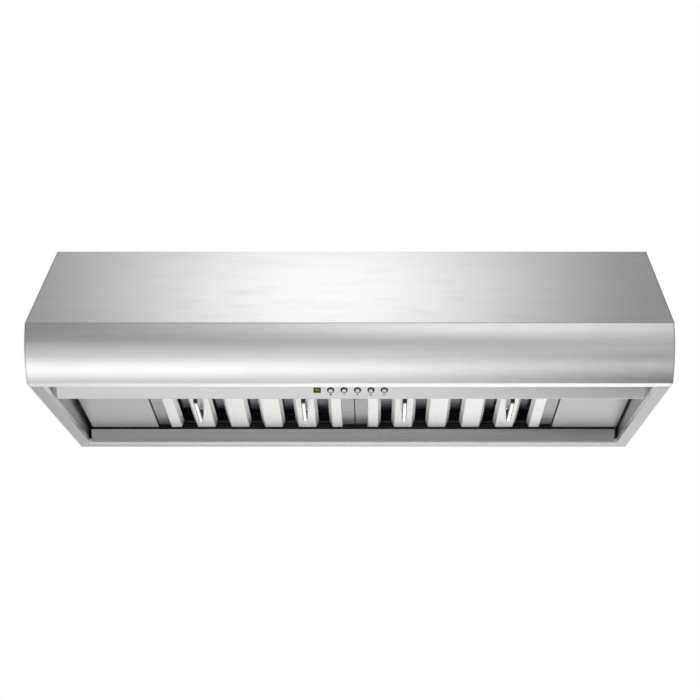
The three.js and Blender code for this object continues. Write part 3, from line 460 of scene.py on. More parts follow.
SOLDER_MASK = textured_solid(
    "solder mask", (0.012, 0.09, 0.045), (0.02, 0.14, 0.07), (0.25, 0.4), grain=900.0, depth=0.00002, coat=0.4
)
SYMBOL_INK = textured_solid("symbol ink", (0.012, 0.012, 0.014), (0.03, 0.03, 0.034), (0.5, 0.6), gloss=0.2)
GLOW = glowing("display glow", (0.42, 0.5, 0.03), (0.6, 0.66, 0.08), 0.55)
DARK_SEGMENT = glowing("unlit display", (0.035, 0.045, 0.004), (0.05, 0.065, 0.008), 0.05)
DISPLAY_GLASS = clear_window("display window", (0.02, 0.03, 0.01), 0.08, 0.35)
LAMP_GLASS = clear_window("frosted lamp glass", (0.9, 0.89, 0.85), 0.45, 0.75)
LED_GLOW = glowing("lamp glow", (0.9, 0.86, 0.75), (1.0, 0.96, 0.86), 0.6)


# ------------------------------------------------------------------ stage and light


FLOOR = {"z": -0.62, "reach": 60.0, "paper": 0.85}
SKY = {"level": 0.46, "overhead": 0.36, "sides": 0.5}


def flat_sheet(name, reach_x, reach_y):
    """A flat rectangle about its own middle, facing up."""
    data = bpy.data.meshes.new(name)
    corners = [(-reach_x, -reach_y, 0), (reach_x, -reach_y, 0), (reach_x, reach_y, 0), (-reach_x, reach_y, 0)]
    data.from_pydata(corners, [], [(0, 1, 2, 3)])
    return data


def mixed_shaders(tree, share, first, second):
    mix = tree.nodes.new("ShaderNodeMixShader")
    for socket, source in zip(mix.inputs, (share, first, second)):
        tree.links.new(source, socket)
    return mix.outputs[0]


def fading(tree, source, reach):
    """One at zero, easing to nothing at the given reach on both sides."""
    return ramp_value(tree, math_node(tree, "ABSOLUTE", source), 1.0, 0.0, 0.0, reach, smooth=True)


def soft_glow(name, strength, reach):
    """A glow that is strongest at the card's centre and melts into what is behind its edges."""
    material = bpy.data.materials.new(name)
    material.use_nodes = True
    tree = material.node_tree
    tree.nodes.clear()
    place = tree.nodes.new("ShaderNodeTexCoord")
    split = tree.nodes.new("ShaderNodeSeparateXYZ")
    tree.links.new(place.outputs["Object"], split.inputs[0])
    across = fading(tree, split.outputs[0], reach[0])
    along = fading(tree, split.outputs[1], reach[1])
    glow = tree.nodes.new("ShaderNodeEmission")
    set_value(glow, "Strength", strength)
    clear = tree.nodes.new("ShaderNodeBsdfTransparent")
    share = math_node(tree, "MULTIPLY", across, along)
    output = tree.nodes.new("ShaderNodeOutputMaterial")
    tree.links.new(mixed_shaders(tree, share, clear.outputs[0], glow.outputs[0]), output.inputs["Surface"])
    return material


def studio_card(name, centre, target, reach, strength):
    """A flat panel of light with soft edges that faces the target and isn't seen itself."""
    data = flat_sheet(name, *reach)
    data.materials.append(soft_glow(name, strength, reach))
    card = bpy.data.objects.new(name, data)
    card.location = centre
    aim = Vector(target) - Vector(centre)
    card.rotation_euler = aim.to_track_quat("Z", "Y").to_euler()
    card.visible_camera = False
    card.visible_shadow = False
    COLLECTION.objects.link(card)


def soft_light(name, centre, target, size, power):
    data = bpy.data.lights.new(name, "AREA")
    data.shape = "RECTANGLE"
    data.size = size[0]
    data.size_y = size[1]
    data.energy = power
    light = bpy.data.objects.new(name, data)
    light.location = centre
    aim = Vector(target) - Vector(centre)
    light.rotation_euler = aim.to_track_quat("-Z", "Y").to_euler()
    light.visible_glossy = False
    COLLECTION.objects.link(light)


def make_floor():
    """Pale paper that looks evenly lit to the camera."""
    data = flat_sheet("studio_floor", FLOOR["reach"], FLOOR["reach"])
    material, tree, shader, place = blank_material("studio floor")
    patch = use_group(tree, SPECKLE, place, Grain=60.0)
    colour = ramp_colour(tree, patch.outputs["Shade"], (0.82, 0.82, 0.81), (0.86, 0.86, 0.85))
    tree.links.new(colour, shader.inputs["Base Color"])
    set_value(shader, "Roughness", 0.9)
    paper = tree.nodes.new("ShaderNodeEmission")
    set_value(paper, "Color", (0.88, 0.88, 0.87, 1))
    rays = tree.nodes.new("ShaderNodeLightPath")
    share = math_node(tree, "MULTIPLY", rays.outputs["Is Camera Ray"], FLOOR["paper"])
    surface = mixed_shaders(tree, share, shader.outputs[0], paper.outputs[0])
    tree.links.new(surface, tree.nodes["Material Output"].inputs["Surface"])
    data.materials.append(material)
    floor = bpy.data.objects.new("studio_floor", data)
    floor.location = (0, 0, FLOOR["z"])
    COLLECTION.objects.link(floor)


def make_world():
    """White where the camera sees it; for light and reflections a soft grey sky, brighter at both sides."""
    world = bpy.data.worlds.new("studio")
    world.use_nodes = True
    bpy.context.scene.world = world
    tree = world.node_tree
    tree.nodes.clear()
    place = tree.nodes.new("ShaderNodeTexCoord")
    split = tree.nodes.new("ShaderNodeSeparateXYZ")
    tree.links.new(place.outputs["Generated"], split.inputs[0])
    sky = ramp_value(tree, split.outputs[2], SKY["level"], SKY["overhead"], -0.1, 1.0)
    aside = math_node(tree, "ABSOLUTE", split.outputs[0])
    sides = ramp_value(tree, aside, 0.0, SKY["sides"], 0.35, 0.95, smooth=True)
    around = tree.nodes.new("ShaderNodeBackground")
    set_value(around, "Color", (0.98, 1.0, 0.99, 1))
    tree.links.new(math_node(tree, "ADD", sky, sides), around.inputs["Strength"])
    seen = tree.nodes.new("ShaderNodeBackground")
    set_value(seen, "Color", (1, 1, 1, 1))
    rays = tree.nodes.new("ShaderNodeLightPath")
    output = tree.nodes.new("ShaderNodeOutputWorld")
    surface = mixed_shaders(tree, rays.outputs["Is Camera Ray"], around.outputs[0], seen.outputs[0])
    tree.links.new(surface, output.inputs["Surface"])


make_floor()
make_world()
# Name, centre, the point it faces, how far it reaches each way, and its strength, in metres.
studio_card("card_above", (-0.07, 0.48, 1.33), (-0.07, -0.15, 0.17), (0.74, 0.85), 1.9)
studio_card("card_front", (0.24, -1.68, 0.7), (0.12, -0.2, 0.1), (0.92, 1.2), 1.6)
studio_card("card_floor_front", (-0.46, -0.62, -0.6), (-0.46, -0.62, 0), (1.1, 0.38), 1.75)
studio_card("card_floor_under", (-0.08, -0.08, -0.61), (-0.08, -0.08, 0), (0.6, 0.26), 0.95)
studio_card("card_behind", (0.18, 1.35, -0.34), (0.18, 0, -0.1), (1.3, 0.45), 1.35)
studio_card("flag_right", (0.8, -0.3, -0.605), (0.8, -0.3, 0), (0.75, 0.5), 0.12)
studio_card("flag_front_right", (0.95, -1.25, -0.6), (0.95, -1.25, 0), (0.95, 0.7), 0.15)
studio_card("flag_left", (-1.2, -1.6, 0.6), (-0.4, -0.2, 0.1), (0.95, 1.2), 0.08)
soft_light("lamp_front_high", (0.7, -1.9, 1.7), (0, 0, 0), (1.4, 0.8), 40)
soft_light("lamp_floor", (0.25, 1.3, 2.4), (0.25, 1.3, FLOOR["z"]), (3.0, 2.0), 40)
bpy.context.scene.view_settings.view_transform = "Standard"


# ------------------------------------------------------------------ making shapes


HOOD_FRAME = Matrix.Identity(4)
WELD = 0.00001
LEAST_BEND = math.radians(12)
MOST_OF_SIDE = 0.45
EDGE_ANGLE = math.radians(40)
FLAT_WITHIN = math.radians(0.5)


def finished_mesh(name, shape, material, plane=HOOD_FRAME, sharp=30.0):
    """Turns a drawing in millimetres, in a plane of its own, into a mesh in the hood's frame."""
    shape.transform(Matrix.Scale(MM, 4) @ plane)
    bmesh.ops.remove_doubles(shape, verts=shape.verts, dist=WELD)
    bmesh.ops.recalc_face_normals(shape, faces=shape.faces)
    data = bpy.data.meshes.new(name)
    shape.to_mesh(data)
    shape.free()
    data.shade_smooth()
    data.set_sharp_from_angle(angle=math.radians(sharp))
    data.materials.append(material)
    piece = bpy.data.objects.new(name, data)
    COLLECTION.objects.link(piece)
    return piece


def arc(centre, radius, start, stop, steps):
    """Points on an arc; the angles are in degrees."""
    angles = [math.radians(start + (stop - start) * i / steps) for i in range(steps + 1)]
    return [(centre[0] + radius * math.cos(a), centre[1] + radius * math.sin(a)) for a in angles]


def rounded(path, radius, steps=4):
    """The path with its corners turned into bends."""
    points = [Vector(path[0])]
    for before, corner, after in zip(path, path[1:], path[2:]):
        corner = Vector(corner)
        back = Vector(before) - corner
        ahead = Vector(after) - corner
        bend = math.pi - back.angle(ahead)
        if bend < LEAST_BEND:
            points.append(corner)
            continue
        reach = min(radius * math.tan(bend / 2), MOST_OF_SIDE * back.length, MOST_OF_SIDE * ahead.length)
        first = corner + reach * back.normalized()
        last = corner + reach * ahead.normalized()
        for i in range(steps + 1):
            t = i / steps
            points.append((1 - t) ** 2 * first + 2 * t * (1 - t) * corner + t * t * last)
    points.append(Vector(path[-1]))
    return points


def beside(points, distance):
    """The same path moved sideways to its left."""
    steps = [(b - a).normalized() for a, b in zip(points, points[1:])]
    moved = []
    for i, point in enumerate(points):
        before = steps[max(i - 1, 0)]
        after = steps[min(i, len(steps) - 1)]
        scale = distance / (1 + before.dot(after))
        moved.append(point + scale * Vector((-before.y - after.y, before.x + after.x)))
    return moved


def along_x(point, station):
    return (station, point.x, point.y)


def along_y(point, station):
    return (point.x, station, point.y)


def along_z(point, station):
    return (point.x, point.y, station)


def lofted(stations, thickness, place):
    """A bent sheet through sections of equal point counts, as (path, station) pairs."""
    shape = bmesh.new()
    rings = []
    for path, station in stations:
        loop = list(path) + beside(path, thickness)[::-1]
        rings.append([shape.verts.new(place(point, station)) for point in loop])
    count = len(rings[0])
    for near, far in zip(rings, rings[1:]):
        for i in range(count):
            j = (i + 1) % count
            shape.faces.new((near[i], near[j], far[j], far[i]))
    for ring in (rings[0], rings[-1]):
        for i in range(count // 2 - 1):
            shape.faces.new((ring[i], ring[i + 1], ring[count - 2 - i], ring[count - 1 - i]))
    return shape


def folded(name, path, thickness, start, stop, material, place=along_x, plane=HOOD_FRAME, radius=2.0):
    bent = rounded(path, radius)
    return finished_mesh(name, lofted([(bent, start), (bent, stop)], thickness, place), material, plane)


def prism(name, outline, low, high, material, place=along_z, plane=HOOD_FRAME):
    """A flat plate of any outline."""
    shape = bmesh.new()
    rings = []
    for station in (low, high):
        rings.append([shape.verts.new(place(Vector(point), station)) for point in outline])
        shape.faces.new(rings[-1])
    for i in range(len(outline)):
        j = (i + 1) % len(outline)
        shape.faces.new((rings[0][i], rings[0][j], rings[1][j], rings[1][i]))
    return finished_mesh(name, shape, material, plane)


def rectangle(x0, x1, y0, y1):
    return [(x0, y0), (x1, y0), (x1, y1), (x0, y1)]


def turned(name, profile, centre, material, plane=HOOD_FRAME, closed=False, sides=64, sharp=30.0):
    """A shape on a lathe, from (radius, height) points about an upright axis."""
    shape = bmesh.new()
    rings = []
    for radius, height in profile:
        if radius < 0.001:
            rings.append([shape.verts.new((centre[0], centre[1], height))] * sides)
            continue
        turns = [2 * math.pi * i / sides for i in range(sides)]
        rings.append(
            [
                shape.verts.new((centre[0] + radius * math.cos(a), centre[1] + radius * math.sin(a), height))
                for a in turns
            ]
        )
    pairs = list(zip(rings, rings[1:]))
    if closed:
        pairs.append((rings[-1], rings[0]))
    for lower, upper in pairs:
        for i in range(sides):
            j = (i + 1) % sides
            corners = list(dict.fromkeys((lower[i], lower[j], upper[j], upper[i])))
            if len(corners) > 2:
                shape.faces.new(corners)
    return finished_mesh(name, shape, material, plane, sharp)


def rod(name, points, radius, material, side, plane=HOOD_FRAME, sides=20):
    """A round bar along a path that stays in one flat plane, square to the side vector."""
    shape = bmesh.new()
    rings = []
    for i, point in enumerate(points):
        heading = (points[min(i + 1, len(points) - 1)] - points[max(i - 1, 0)]).normalized()
        across = heading.cross(side).normalized()
        ring = []
        for k in range(sides):
            angle = 2 * math.pi * k / sides
            ring.append(shape.verts.new(point + radius * (math.cos(angle) * side + math.sin(angle) * across)))
        rings.append(ring)
    for near, far in zip(rings, rings[1:]):
        for k in range(sides):
            j = (k + 1) % sides
            shape.faces.new((near[k], near[j], far[j], far[k]))
    shape.faces.new(rings[0])
    shape.faces.new(rings[-1])
    return finished_mesh(name, shape, material, plane)


def settled(piece):
    """The piece and its modifiers as one plain mesh."""
    graph = bpy.context.evaluated_depsgraph_get()
    data = bpy.data.meshes.new_from_object(piece.evaluated_get(graph))
    piece.modifiers.clear()
    piece.data = data
    return piece


def joined(name, parts):
    """One piece made of several, each keeping its own materials."""
    shape = bmesh.new()
    materials = []
    for part in parts:
        own = list(part.data.materials)
        for material in own:
            if material not in materials:
                materials.append(material)
        first = len(shape.faces)
        shape.from_mesh(part.data)
        shape.faces.ensure_lookup_table()
        for face in shape.faces[first:]:
            face.material_index = materials.index(own[min(face.material_index, len(own) - 1)])
        bpy.data.objects.remove(part)
    data = bpy.data.meshes.new(name)
    shape.to_mesh(data)
    shape.free()
    for material in materials:
        data.materials.append(material)
    piece = bpy.data.objects.new(name, data)
    COLLECTION.objects.link(piece)
    return piece


def punched(piece, tools):
    """Cuts every tool out of the piece for good."""
    tool = joined("tool", tools)
    modifier = piece.modifiers.new("cut", "BOOLEAN")
    modifier.operation = "DIFFERENCE"
    modifier.solver = "EXACT"
    modifier.object = tool
    materials = len(piece.data.materials)
    settled(piece)
    while len(piece.data.materials) > materials:
        piece.data.materials.pop()
    bpy.data.objects.remove(tool)
    return piece


def softened(piece, width=0.25):
    """Small rounds on every sharp edge."""
    modifier = piece.modifiers.new("soft edges", "BEVEL")
    modifier.width = width * MM
    modifier.segments = 2
    modifier.limit_method = "ANGLE"
    modifier.angle_limit = EDGE_ANGLE
    modifier.harden_normals = True
    return piece


def refaced(piece, material, chosen):
    """Gives another finish to the faces whose middle, in millimetres, and normal pass the test."""
    piece.data.materials.append(material)
    for face in piece.data.polygons:
        if chosen(face.center / MM, face.normal):
            face.material_index = len(piece.data.materials) - 1
    return piece


def refined(node, material, sharp=30.0):
    """A copy of a frame node with its flats cleaned up."""
    shape = bmesh.new()
    shape.from_mesh(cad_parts[node].data)
    bmesh.ops.remove_doubles(shape, verts=shape.verts, dist=WELD)
    bmesh.ops.dissolve_limit(shape, angle_limit=FLAT_WITHIN, verts=shape.verts, edges=shape.edges)
    shape.transform(Matrix.Scale(1 / MM, 4))
    return finished_mesh(f"finished_{node}", shape, material, sharp=sharp)


def fitted(piece, body, slot, *nodes):
    """Hands a piece over: what it moves with and the frame nodes it stands for; the finish, slot, is not
    used.
    """
    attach(piece, body)
    if nodes:
        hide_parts(*nodes)


# ------------------------------------------------------------------ repeated pieces


LOOSE_SEED = 7


def geometry_tree(name, inputs):
    """An empty geometry tree with its sockets; returns the tree and its two end nodes."""
    tree = bpy.data.node_groups.new(name, "GeometryNodeTree")
    tree.is_modifier = True
    for label, kind in inputs:
        tree.interface.new_socket(label, in_out="INPUT", socket_type=kind)
    tree.interface.new_socket("Geometry", in_out="OUTPUT", socket_type="NodeSocketGeometry")
    return tree, tree.nodes.new("NodeGroupInput"), tree.nodes.new("NodeGroupOutput")


def turn_from(tree, angles):
    node = tree.nodes.new("FunctionNodeEulerToRotation")
    tree.links.new(angles, node.inputs[0])
    return node.outputs[0]


def turn_about_z(tree, angle):
    angles = tree.nodes.new("ShaderNodeCombineXYZ")
    tree.links.new(angle, angles.inputs[2])
    return turn_from(tree, angles.outputs[0])


def pieces_on_line(tree, start, first, turn):
    """The line of Count points from the first one, and the tree's piece set and turned on each."""
    line = tree.nodes.new("GeometryNodeMeshLine")
    line.mode = "OFFSET"
    tree.links.new(start.outputs["Count"], line.inputs["Count"])
    tree.links.new(first, line.inputs["Start Location"])
    info = tree.nodes.new("GeometryNodeObjectInfo")
    tree.links.new(start.outputs["Piece"], info.inputs["Object"])
    place = tree.nodes.new("GeometryNodeInstanceOnPoints")
    tree.links.new(line.outputs[0], place.inputs["Points"])
    tree.links.new(info.outputs["Geometry"], place.inputs["Instance"])
    tree.links.new(turn, place.inputs["Rotation"])
    return line, place.outputs[0]


def finish_tree(tree, start, end, instances):
    """Makes the instances real and gives them their material."""
    real = tree.nodes.new("GeometryNodeRealizeInstances")
    tree.links.new(instances, real.inputs[0])
    painted = tree.nodes.new("GeometryNodeSetMaterial")
    tree.links.new(real.outputs[0], painted.inputs["Geometry"])
    tree.links.new(start.outputs["Material"], painted.inputs["Material"])
    tree.links.new(painted.outputs[0], end.inputs["Geometry"])
    return tree


def build_row_tree():
    """A straight row of one piece: count, first place, step, tilt and a seeded loose turn."""
    tree, start, end = geometry_tree(
        "row of pieces",
        [
            ("Piece", "NodeSocketObject"),
            ("Count", "NodeSocketInt"),
            ("First", "NodeSocketVector"),
            ("Step", "NodeSocketVector"),
            ("Tilt", "NodeSocketVector"),
            ("Loose Turn", "NodeSocketFloat"),
            ("Material", "NodeSocketMaterial"),
        ],
    )
    lean = turn_from(tree, start.outputs["Tilt"])
    line, placed = pieces_on_line(tree, start, start.outputs["First"], lean)
    tree.links.new(start.outputs["Step"], line.inputs["Offset"])
    chance = tree.nodes.new("FunctionNodeRandomValue")
    chance.data_type = "FLOAT"
    set_value(chance, "Seed", LOOSE_SEED)
    loose = math_node(tree, "MULTIPLY", chance.outputs[1], start.outputs["Loose Turn"])
    rotate = tree.nodes.new("GeometryNodeRotateInstances")
    tree.links.new(placed, rotate.inputs["Instances"])
    tree.links.new(turn_about_z(tree, loose), rotate.inputs["Rotation"])
    set_value(rotate, "Local Space", True)
    return finish_tree(tree, start, end, rotate.outputs[0])


def build_ring_tree():
    """One piece repeated evenly round an upright axis."""
    tree, start, end = geometry_tree(
        "ring of pieces",
        [
            ("Piece", "NodeSocketObject"),
            ("Count", "NodeSocketInt"),
            ("Axis", "NodeSocketVector"),
            ("Material", "NodeSocketMaterial"),
        ],
    )
    index = tree.nodes.new("GeometryNodeInputIndex")
    share = math_node(tree, "DIVIDE", index.outputs[0], start.outputs["Count"])
    turn = turn_about_z(tree, math_node(tree, "MULTIPLY", share, 2 * math.pi))
    line, placed = pieces_on_line(tree, start, start.outputs["Axis"], turn)
    set_value(line, "Offset", (0, 0, 0))
    return finish_tree(tree, start, end, placed)


ROW_TREE = build_row_tree()
RING_TREE = build_ring_tree()


def grown(name, tree, piece, material, **inputs):
    """The plain mesh that a tree makes of one piece, which is then used up."""
    carrier = bpy.data.objects.new(name, bpy.data.meshes.new(name))
    COLLECTION.objects.link(carrier)
    modifier = carrier.modifiers.new(name, "NODES")
    modifier.node_group = tree
    values = dict(inputs, Piece=piece, Material=material)
    for item in tree.interface.items_tree:
        label = item.name.replace(" ", "_")
        if item.in_out == "INPUT" and label in values:
            modifier[item.identifier] = values[label]
    settled(carrier)
    bpy.data.objects.remove(piece)
    return carrier


def row(name, piece, count, first, step, material, tilt=(0, 0, 0), loose=0.0):
    """A row placed in millimetres."""
    first = tuple(MM * value for value in first)
    step = tuple(MM * value for value in step)
    return grown(
        name, ROW_TREE, piece, material, Count=count, First=first, Step=step, Tilt=tilt, Loose_Turn=loose
    )


def ring_of(name, piece, count, axis, material):
    return grown(name, RING_TREE, piece, material, Count=count, Axis=(MM * axis[0], MM * axis[1], 0.0))


# ------------------------------------------------------------------ fixings


def screw_head():
    """A pan head with a cross recess, standing on z = 0."""
    profile = [(0, -0.4), (3.4, -0.4), (3.6, 0.1), (3.4, 0.9), (2.6, 1.6), (1.4, 1.9), (0, 2.0)]
    head = turned("screw_head", profile, (0, 0), PLATED, sides=24)
    for half_x, half_y in ((2.1, 0.45), (0.45, 2.1)):
        slot = rectangle(-half_x, half_x, -half_y, half_y)
        punched(head, [prism("slot", slot, 0.8, 3.0, PLATED)])
    return head


def rivet_head(radius=2.4):
    profile = [(0, -0.2), (radius, -0.2), (radius, 0.1)]
    profile += [(0.8 * radius, 0.55), (0.4 * radius, 0.85), (0, 0.95)]
    return turned("rivet_head", profile, (0, 0), PLATED, sides=16)


def weld_dimple():
    """The shallow round print of a spot weld."""
    profile = [(0, -0.1), (3.4, -0.1), (3.2, 0.12), (2.4, 0.16), (2.0, 0.05), (0, 0.02)]
    return turned("weld_dimple", profile, (0, 0), PLATED, sides=20)


# ------------------------------------------------------------------ canopy


def nose_outline(steps):
    """The round front from the crease down to the rim."""
    crease = 180 - math.degrees(math.asin((NOSE["crease"] - NOSE["z"]) / NOSE["radius"]))
    foot = 180 + math.degrees(math.asin(NOSE["z"] / NOSE["radius"]))
    return arc((NOSE["y"], NOSE["z"]), NOSE["radius"], crease, foot, steps)


def front_wrapper():
    """One sheet for the sloped front, the round nose and the flat front lip with its upturned hem."""
    lip_back = RIM_FRONT + FRONT_LIP
    top_back = TOP_FRONT + TOP_FLANGE
    path = [(top_back, TOP), (TOP_FRONT, TOP), *nose_outline(36), (lip_back, 0), (lip_back, HEM)]
    wrapper = folded("finished_front_wrapper", path, SHEET, -INNER_HALF, INNER_HALF, CANOPY_STEEL, radius=2.4)
    refaced(wrapper, FASCIA_STEEL, lambda middle, _: middle.z < NOSE["crease"] - 0.6)
    # Painted highlight: the front lip's underside takes the near-white highlight steel.
    refaced(wrapper, PAINTED_HIGHLIGHT_STEEL, lambda middle, normal: middle.z < 0.2 and normal.z < -0.9)
    fitted(softened(wrapper), "canopy", "canopy_steel", "front_wrapper")


def side_panel(side, name):
    """The outer side wall with its lower lip and the flange under the top."""
    outline = [(HALF_DEPTH, 0), (HALF_DEPTH, TOP), (TOP_FRONT, TOP), *nose_outline(36)]
    wall_inside = HALF_WIDTH - SHEET
    ends = sorted((side * wall_inside, side * HALF_WIDTH))
    wall = prism("wall", outline, ends[0], ends[1], SIDE_STEEL, along_x)
    lip_edge = HALF_WIDTH - SIDE_LIP
    lip_front = RIM_FRONT + FRONT_LIP + 2 * GAP
    lip_back = HALF_DEPTH - REAR_LIP - 2 * GAP
    lip_path = [(side * wall_inside, 0), (side * lip_edge, 0), (side * lip_edge, HEM)]
    # Painted shade: the side lip is made of the darker shaded lip steel.
    lip = folded("lip", lip_path, -side * SHEET, lip_front, lip_back, SHADED_LIP_STEEL, along_y, radius=1.0)
    # Painted highlight: the hem takes the near-white highlight steel.
    refaced(lip, PAINTED_HIGHLIGHT_STEEL, lambda middle, _: middle.z > 0.6 and abs(middle.x) < lip_edge + 2)
    flange_ends = sorted((side * (wall_inside - 15), side * wall_inside))
    flange_outline = rectangle(*flange_ends, TOP_FRONT + 30, HALF_DEPTH - 22)
    flange = prism("flange", flange_outline, UNDER_TOP - SHEET, UNDER_TOP, SIDE_STEEL)
    panel = joined(f"finished_{name}_side_panel", [wall, lip, flange])
    fitted(softened(panel), "canopy", "canopy_steel", f"{name}_side_panel")


BACK_FLANGE = 18.0
KNOCKOUT = {"z": 176.0, "half_x": 127.0, "half_z": 41.0, "line": 1.4, "bridge": 5.0}


def knockout_slots():
    """Three slots along the top and the bottom and one at each side, with bridges between them."""
    centre, across, up = KNOCKOUT["z"], KNOCKOUT["half_x"], KNOCKOUT["half_z"]
    half, bridge = KNOCKOUT["line"] / 2, KNOCKOUT["bridge"]
    third = (2 * across - 2 * bridge) / 3
    slots = []
    for sign in (-1, 1):
        edge = centre + sign * up
        for i in range(3):
            left = -across + i * (third + bridge)
            slots.append(rectangle(left, left + third, edge - half, edge + half))
        side = sign * (across + bridge)
        slots.append(rectangle(side - half, side + half, centre - up + bridge, centre + up - bridge))
    return slots


def back_panel():
    """The back sheet with its rear lip, and the slotted outline of the knock-out for a rear duct."""
    lip_front = HALF_DEPTH - REAR_LIP
    path = [(lip_front, HEM), (lip_front, 0), (HALF_DEPTH, 0), (HALF_DEPTH, UNDER_TOP)]
    path.append((HALF_DEPTH - BACK_FLANGE, UNDER_TOP))
    panel = folded("panel", path, SHEET, -INNER_HALF, INNER_HALF, TOP_STEEL, radius=1.2)
    low, high = HALF_DEPTH - 5, HALF_DEPTH + 5
    punched(panel, [prism("bit", slot, low, high, TOP_STEEL, along_y) for slot in knockout_slots()])
    # Painted shade: the rear lip's underside takes the darker panel steel.
    refaced(panel, PANEL_STEEL, lambda middle, _: middle.z < 0.6)
    # Painted highlight: the rear lip's hem takes the near-white highlight steel.
    refaced(panel, PAINTED_HIGHLIGHT_STEEL, lambda middle, _: middle.z > 0.1 and middle.y < lip_front + 2)
    backwards = (-math.pi / 2, 0, 0)
    welds = [
        row("welds", weld_dimple(), 15, (-420, HALF_DEPTH, height), (60, 0, 0), TOP_STEEL, backwards)
        for height in (236, 14)
    ]
    whole = joined("finished_back_panel", [panel, *welds])
    fitted(softened(whole, 0.2), "canopy", "canopy_steel", "back_panel")


KEYHOLE = {"x": 385.0, "y": (20.0, 235.0), "entry": 6.0, "slot": 3.0, "length": 14.0}
GLAND = (-390.0, 190.0)
GLAND_HOLE = 11.0
SCREW_CIRCLE = COLLAR + 9
# How many spot welds each row on the top has, the place of the first and the step to the next.
TOP_WELDS = (
    (14, (-422, 272), (64.9, 0)),
    (6, (-445, 30), (0, 44)),
    (6, (445, 30), (0, 44)),
    (14, (-422, -8), (64.9, 0)),
)


def upright_tool(x, y, radius, low, high):
    return turned("bit", [(0, low), (radius, low), (radius, high), (0, high)], (x, y), TOP_STEEL, sides=48)


def top_panel():
    """The flat top with its duct hole, wiring hole, four keyholes, spot welds and collar screws."""
    front = TOP_FRONT + TOP_FLANGE + GAP
    outline = rectangle(-INNER_HALF, INNER_HALF, front, HALF_DEPTH)
    plate = prism("plate", outline, TOP - SHEET, TOP, TOP_STEEL)
    low, high = TOP - 5, TOP + 5
    tools = [upright_tool(0, DUCT_Y, COLLAR + GAP, low, high), upright_tool(*GLAND, GLAND_HOLE, low, high)]
    for x in (-KEYHOLE["x"], KEYHOLE["x"]):
        for y in KEYHOLE["y"]:
            slot = arc((x, y - KEYHOLE["length"]), KEYHOLE["slot"], 180, 360, 12)
            slot += arc((x, y), KEYHOLE["entry"], -60, 240, 30)
            tools.append(prism("bit", slot, low, high, TOP_STEEL))
    punched(plate, tools)
    welds = [
        row("welds", weld_dimple(), count, (*first, TOP), (*step, 0), TOP_STEEL)
        for count, first, step in TOP_WELDS
    ]
    panel = joined("finished_top_panel", [plate, *welds])
    fitted(softened(panel, 0.2), "canopy", "canopy_steel", "top_panel")
    for i, angle in enumerate((45, 135, 225, 315)):
        spot = Matrix.Rotation(math.radians(angle), 2) @ Vector((0, SCREW_CIRCLE))
        place = (spot.x, DUCT_Y + spot.y, TOP)
        screw = row(f"collar_screw_{i + 1}", screw_head(), 1, place, (0, 0, 0), PLATED, loose=3.0)
        fitted(screw, "canopy", "plated_steel")


def liner(side, name):
    """The inner side wall, riveted, with a flange out to the side panel."""
    inner = side * LINER_HALF
    outer = side * INNER_HALF
    front = RIM_FRONT + FRONT_LIP + 2
    back = HALF_DEPTH - REAR_LIP - 1
    path = [(inner, SHEET + GAP), (inner, LINER_TOP), (outer, LINER_TOP)]
    wall = folded("wall", path, -side * 1.0, front, back, LINER_STEEL, along_y, radius=1.6)
    inwards = (0, -side * math.pi / 2, 0)
    rivets = row("rivets", rivet_head(2.0), 5, (inner, -170, 80), (0, 88, 0), LINER_STEEL, inwards)
    whole = joined(f"finished_{name}_liner", [wall, rivets])
    fitted(softened(whole, 0.2), "canopy", "liner_steel", f"{name}_liner")


# ------------------------------------------------------------------ control strip


BUTTONS = ("timer", "lamp", "slower", "faster", "power")
DISPLAY = {"x": -2.5 * BUTTON_PITCH, "half_x": 5.15, "half_y": 4.75}
DISPLAY_FRAME = (1.6, 1.5)
BUTTON_HOLE = 5.4
GUIDE_BACK = -3.4
GUIDE_FRONT = -1.6
SYMBOL_ROW = 10.2


def button_x(index):
    return (index - 1.5) * BUTTON_PITCH


def strip_tool(x, radius):
    profile = [(0, -6), (radius, -6), (radius, 6), (0, 6)]
    return turned("bit", profile, (x, BUTTON_ROW), STRIP_STEEL, CONTROL_PLANE, sides=48)


def display_outline(margin_x, margin_y):
    """The display's outline with a margin round it."""
    half_x = DISPLAY["half_x"] + margin_x
    half_y = DISPLAY["half_y"] + margin_y
    return rectangle(DISPLAY["x"] - half_x, DISPLAY["x"] + half_x, BUTTON_ROW - half_y, BUTTON_ROW + half_y)


def control_strip():
    """The sloping strip with five button holes and the display opening."""
    top = (
        STRIP_EDGE[0] - STRIP_WIDTH * math.cos(STRIP_ANGLE),
        STRIP_EDGE[1] + STRIP_WIDTH * math.sin(STRIP_ANGLE),
    )
    path = [(top[0], LINER_TOP), top, STRIP_EDGE, (STRIP_EDGE[0], 66)]
    strip = folded("finished_control_strip", path, SHEET, -STRIP_HALF, STRIP_HALF, STRIP_STEEL, radius=1.8)
    tools = [strip_tool(button_x(i), BUTTON_HOLE) for i in range(5)]
    tools.append(prism("bit", display_outline(GAP, GAP), -4, 4, STRIP_STEEL, plane=CONTROL_PLANE))
    punched(strip, tools)
    fitted(softened(strip, 0.15), "canopy", "strip_steel", "control_strip")


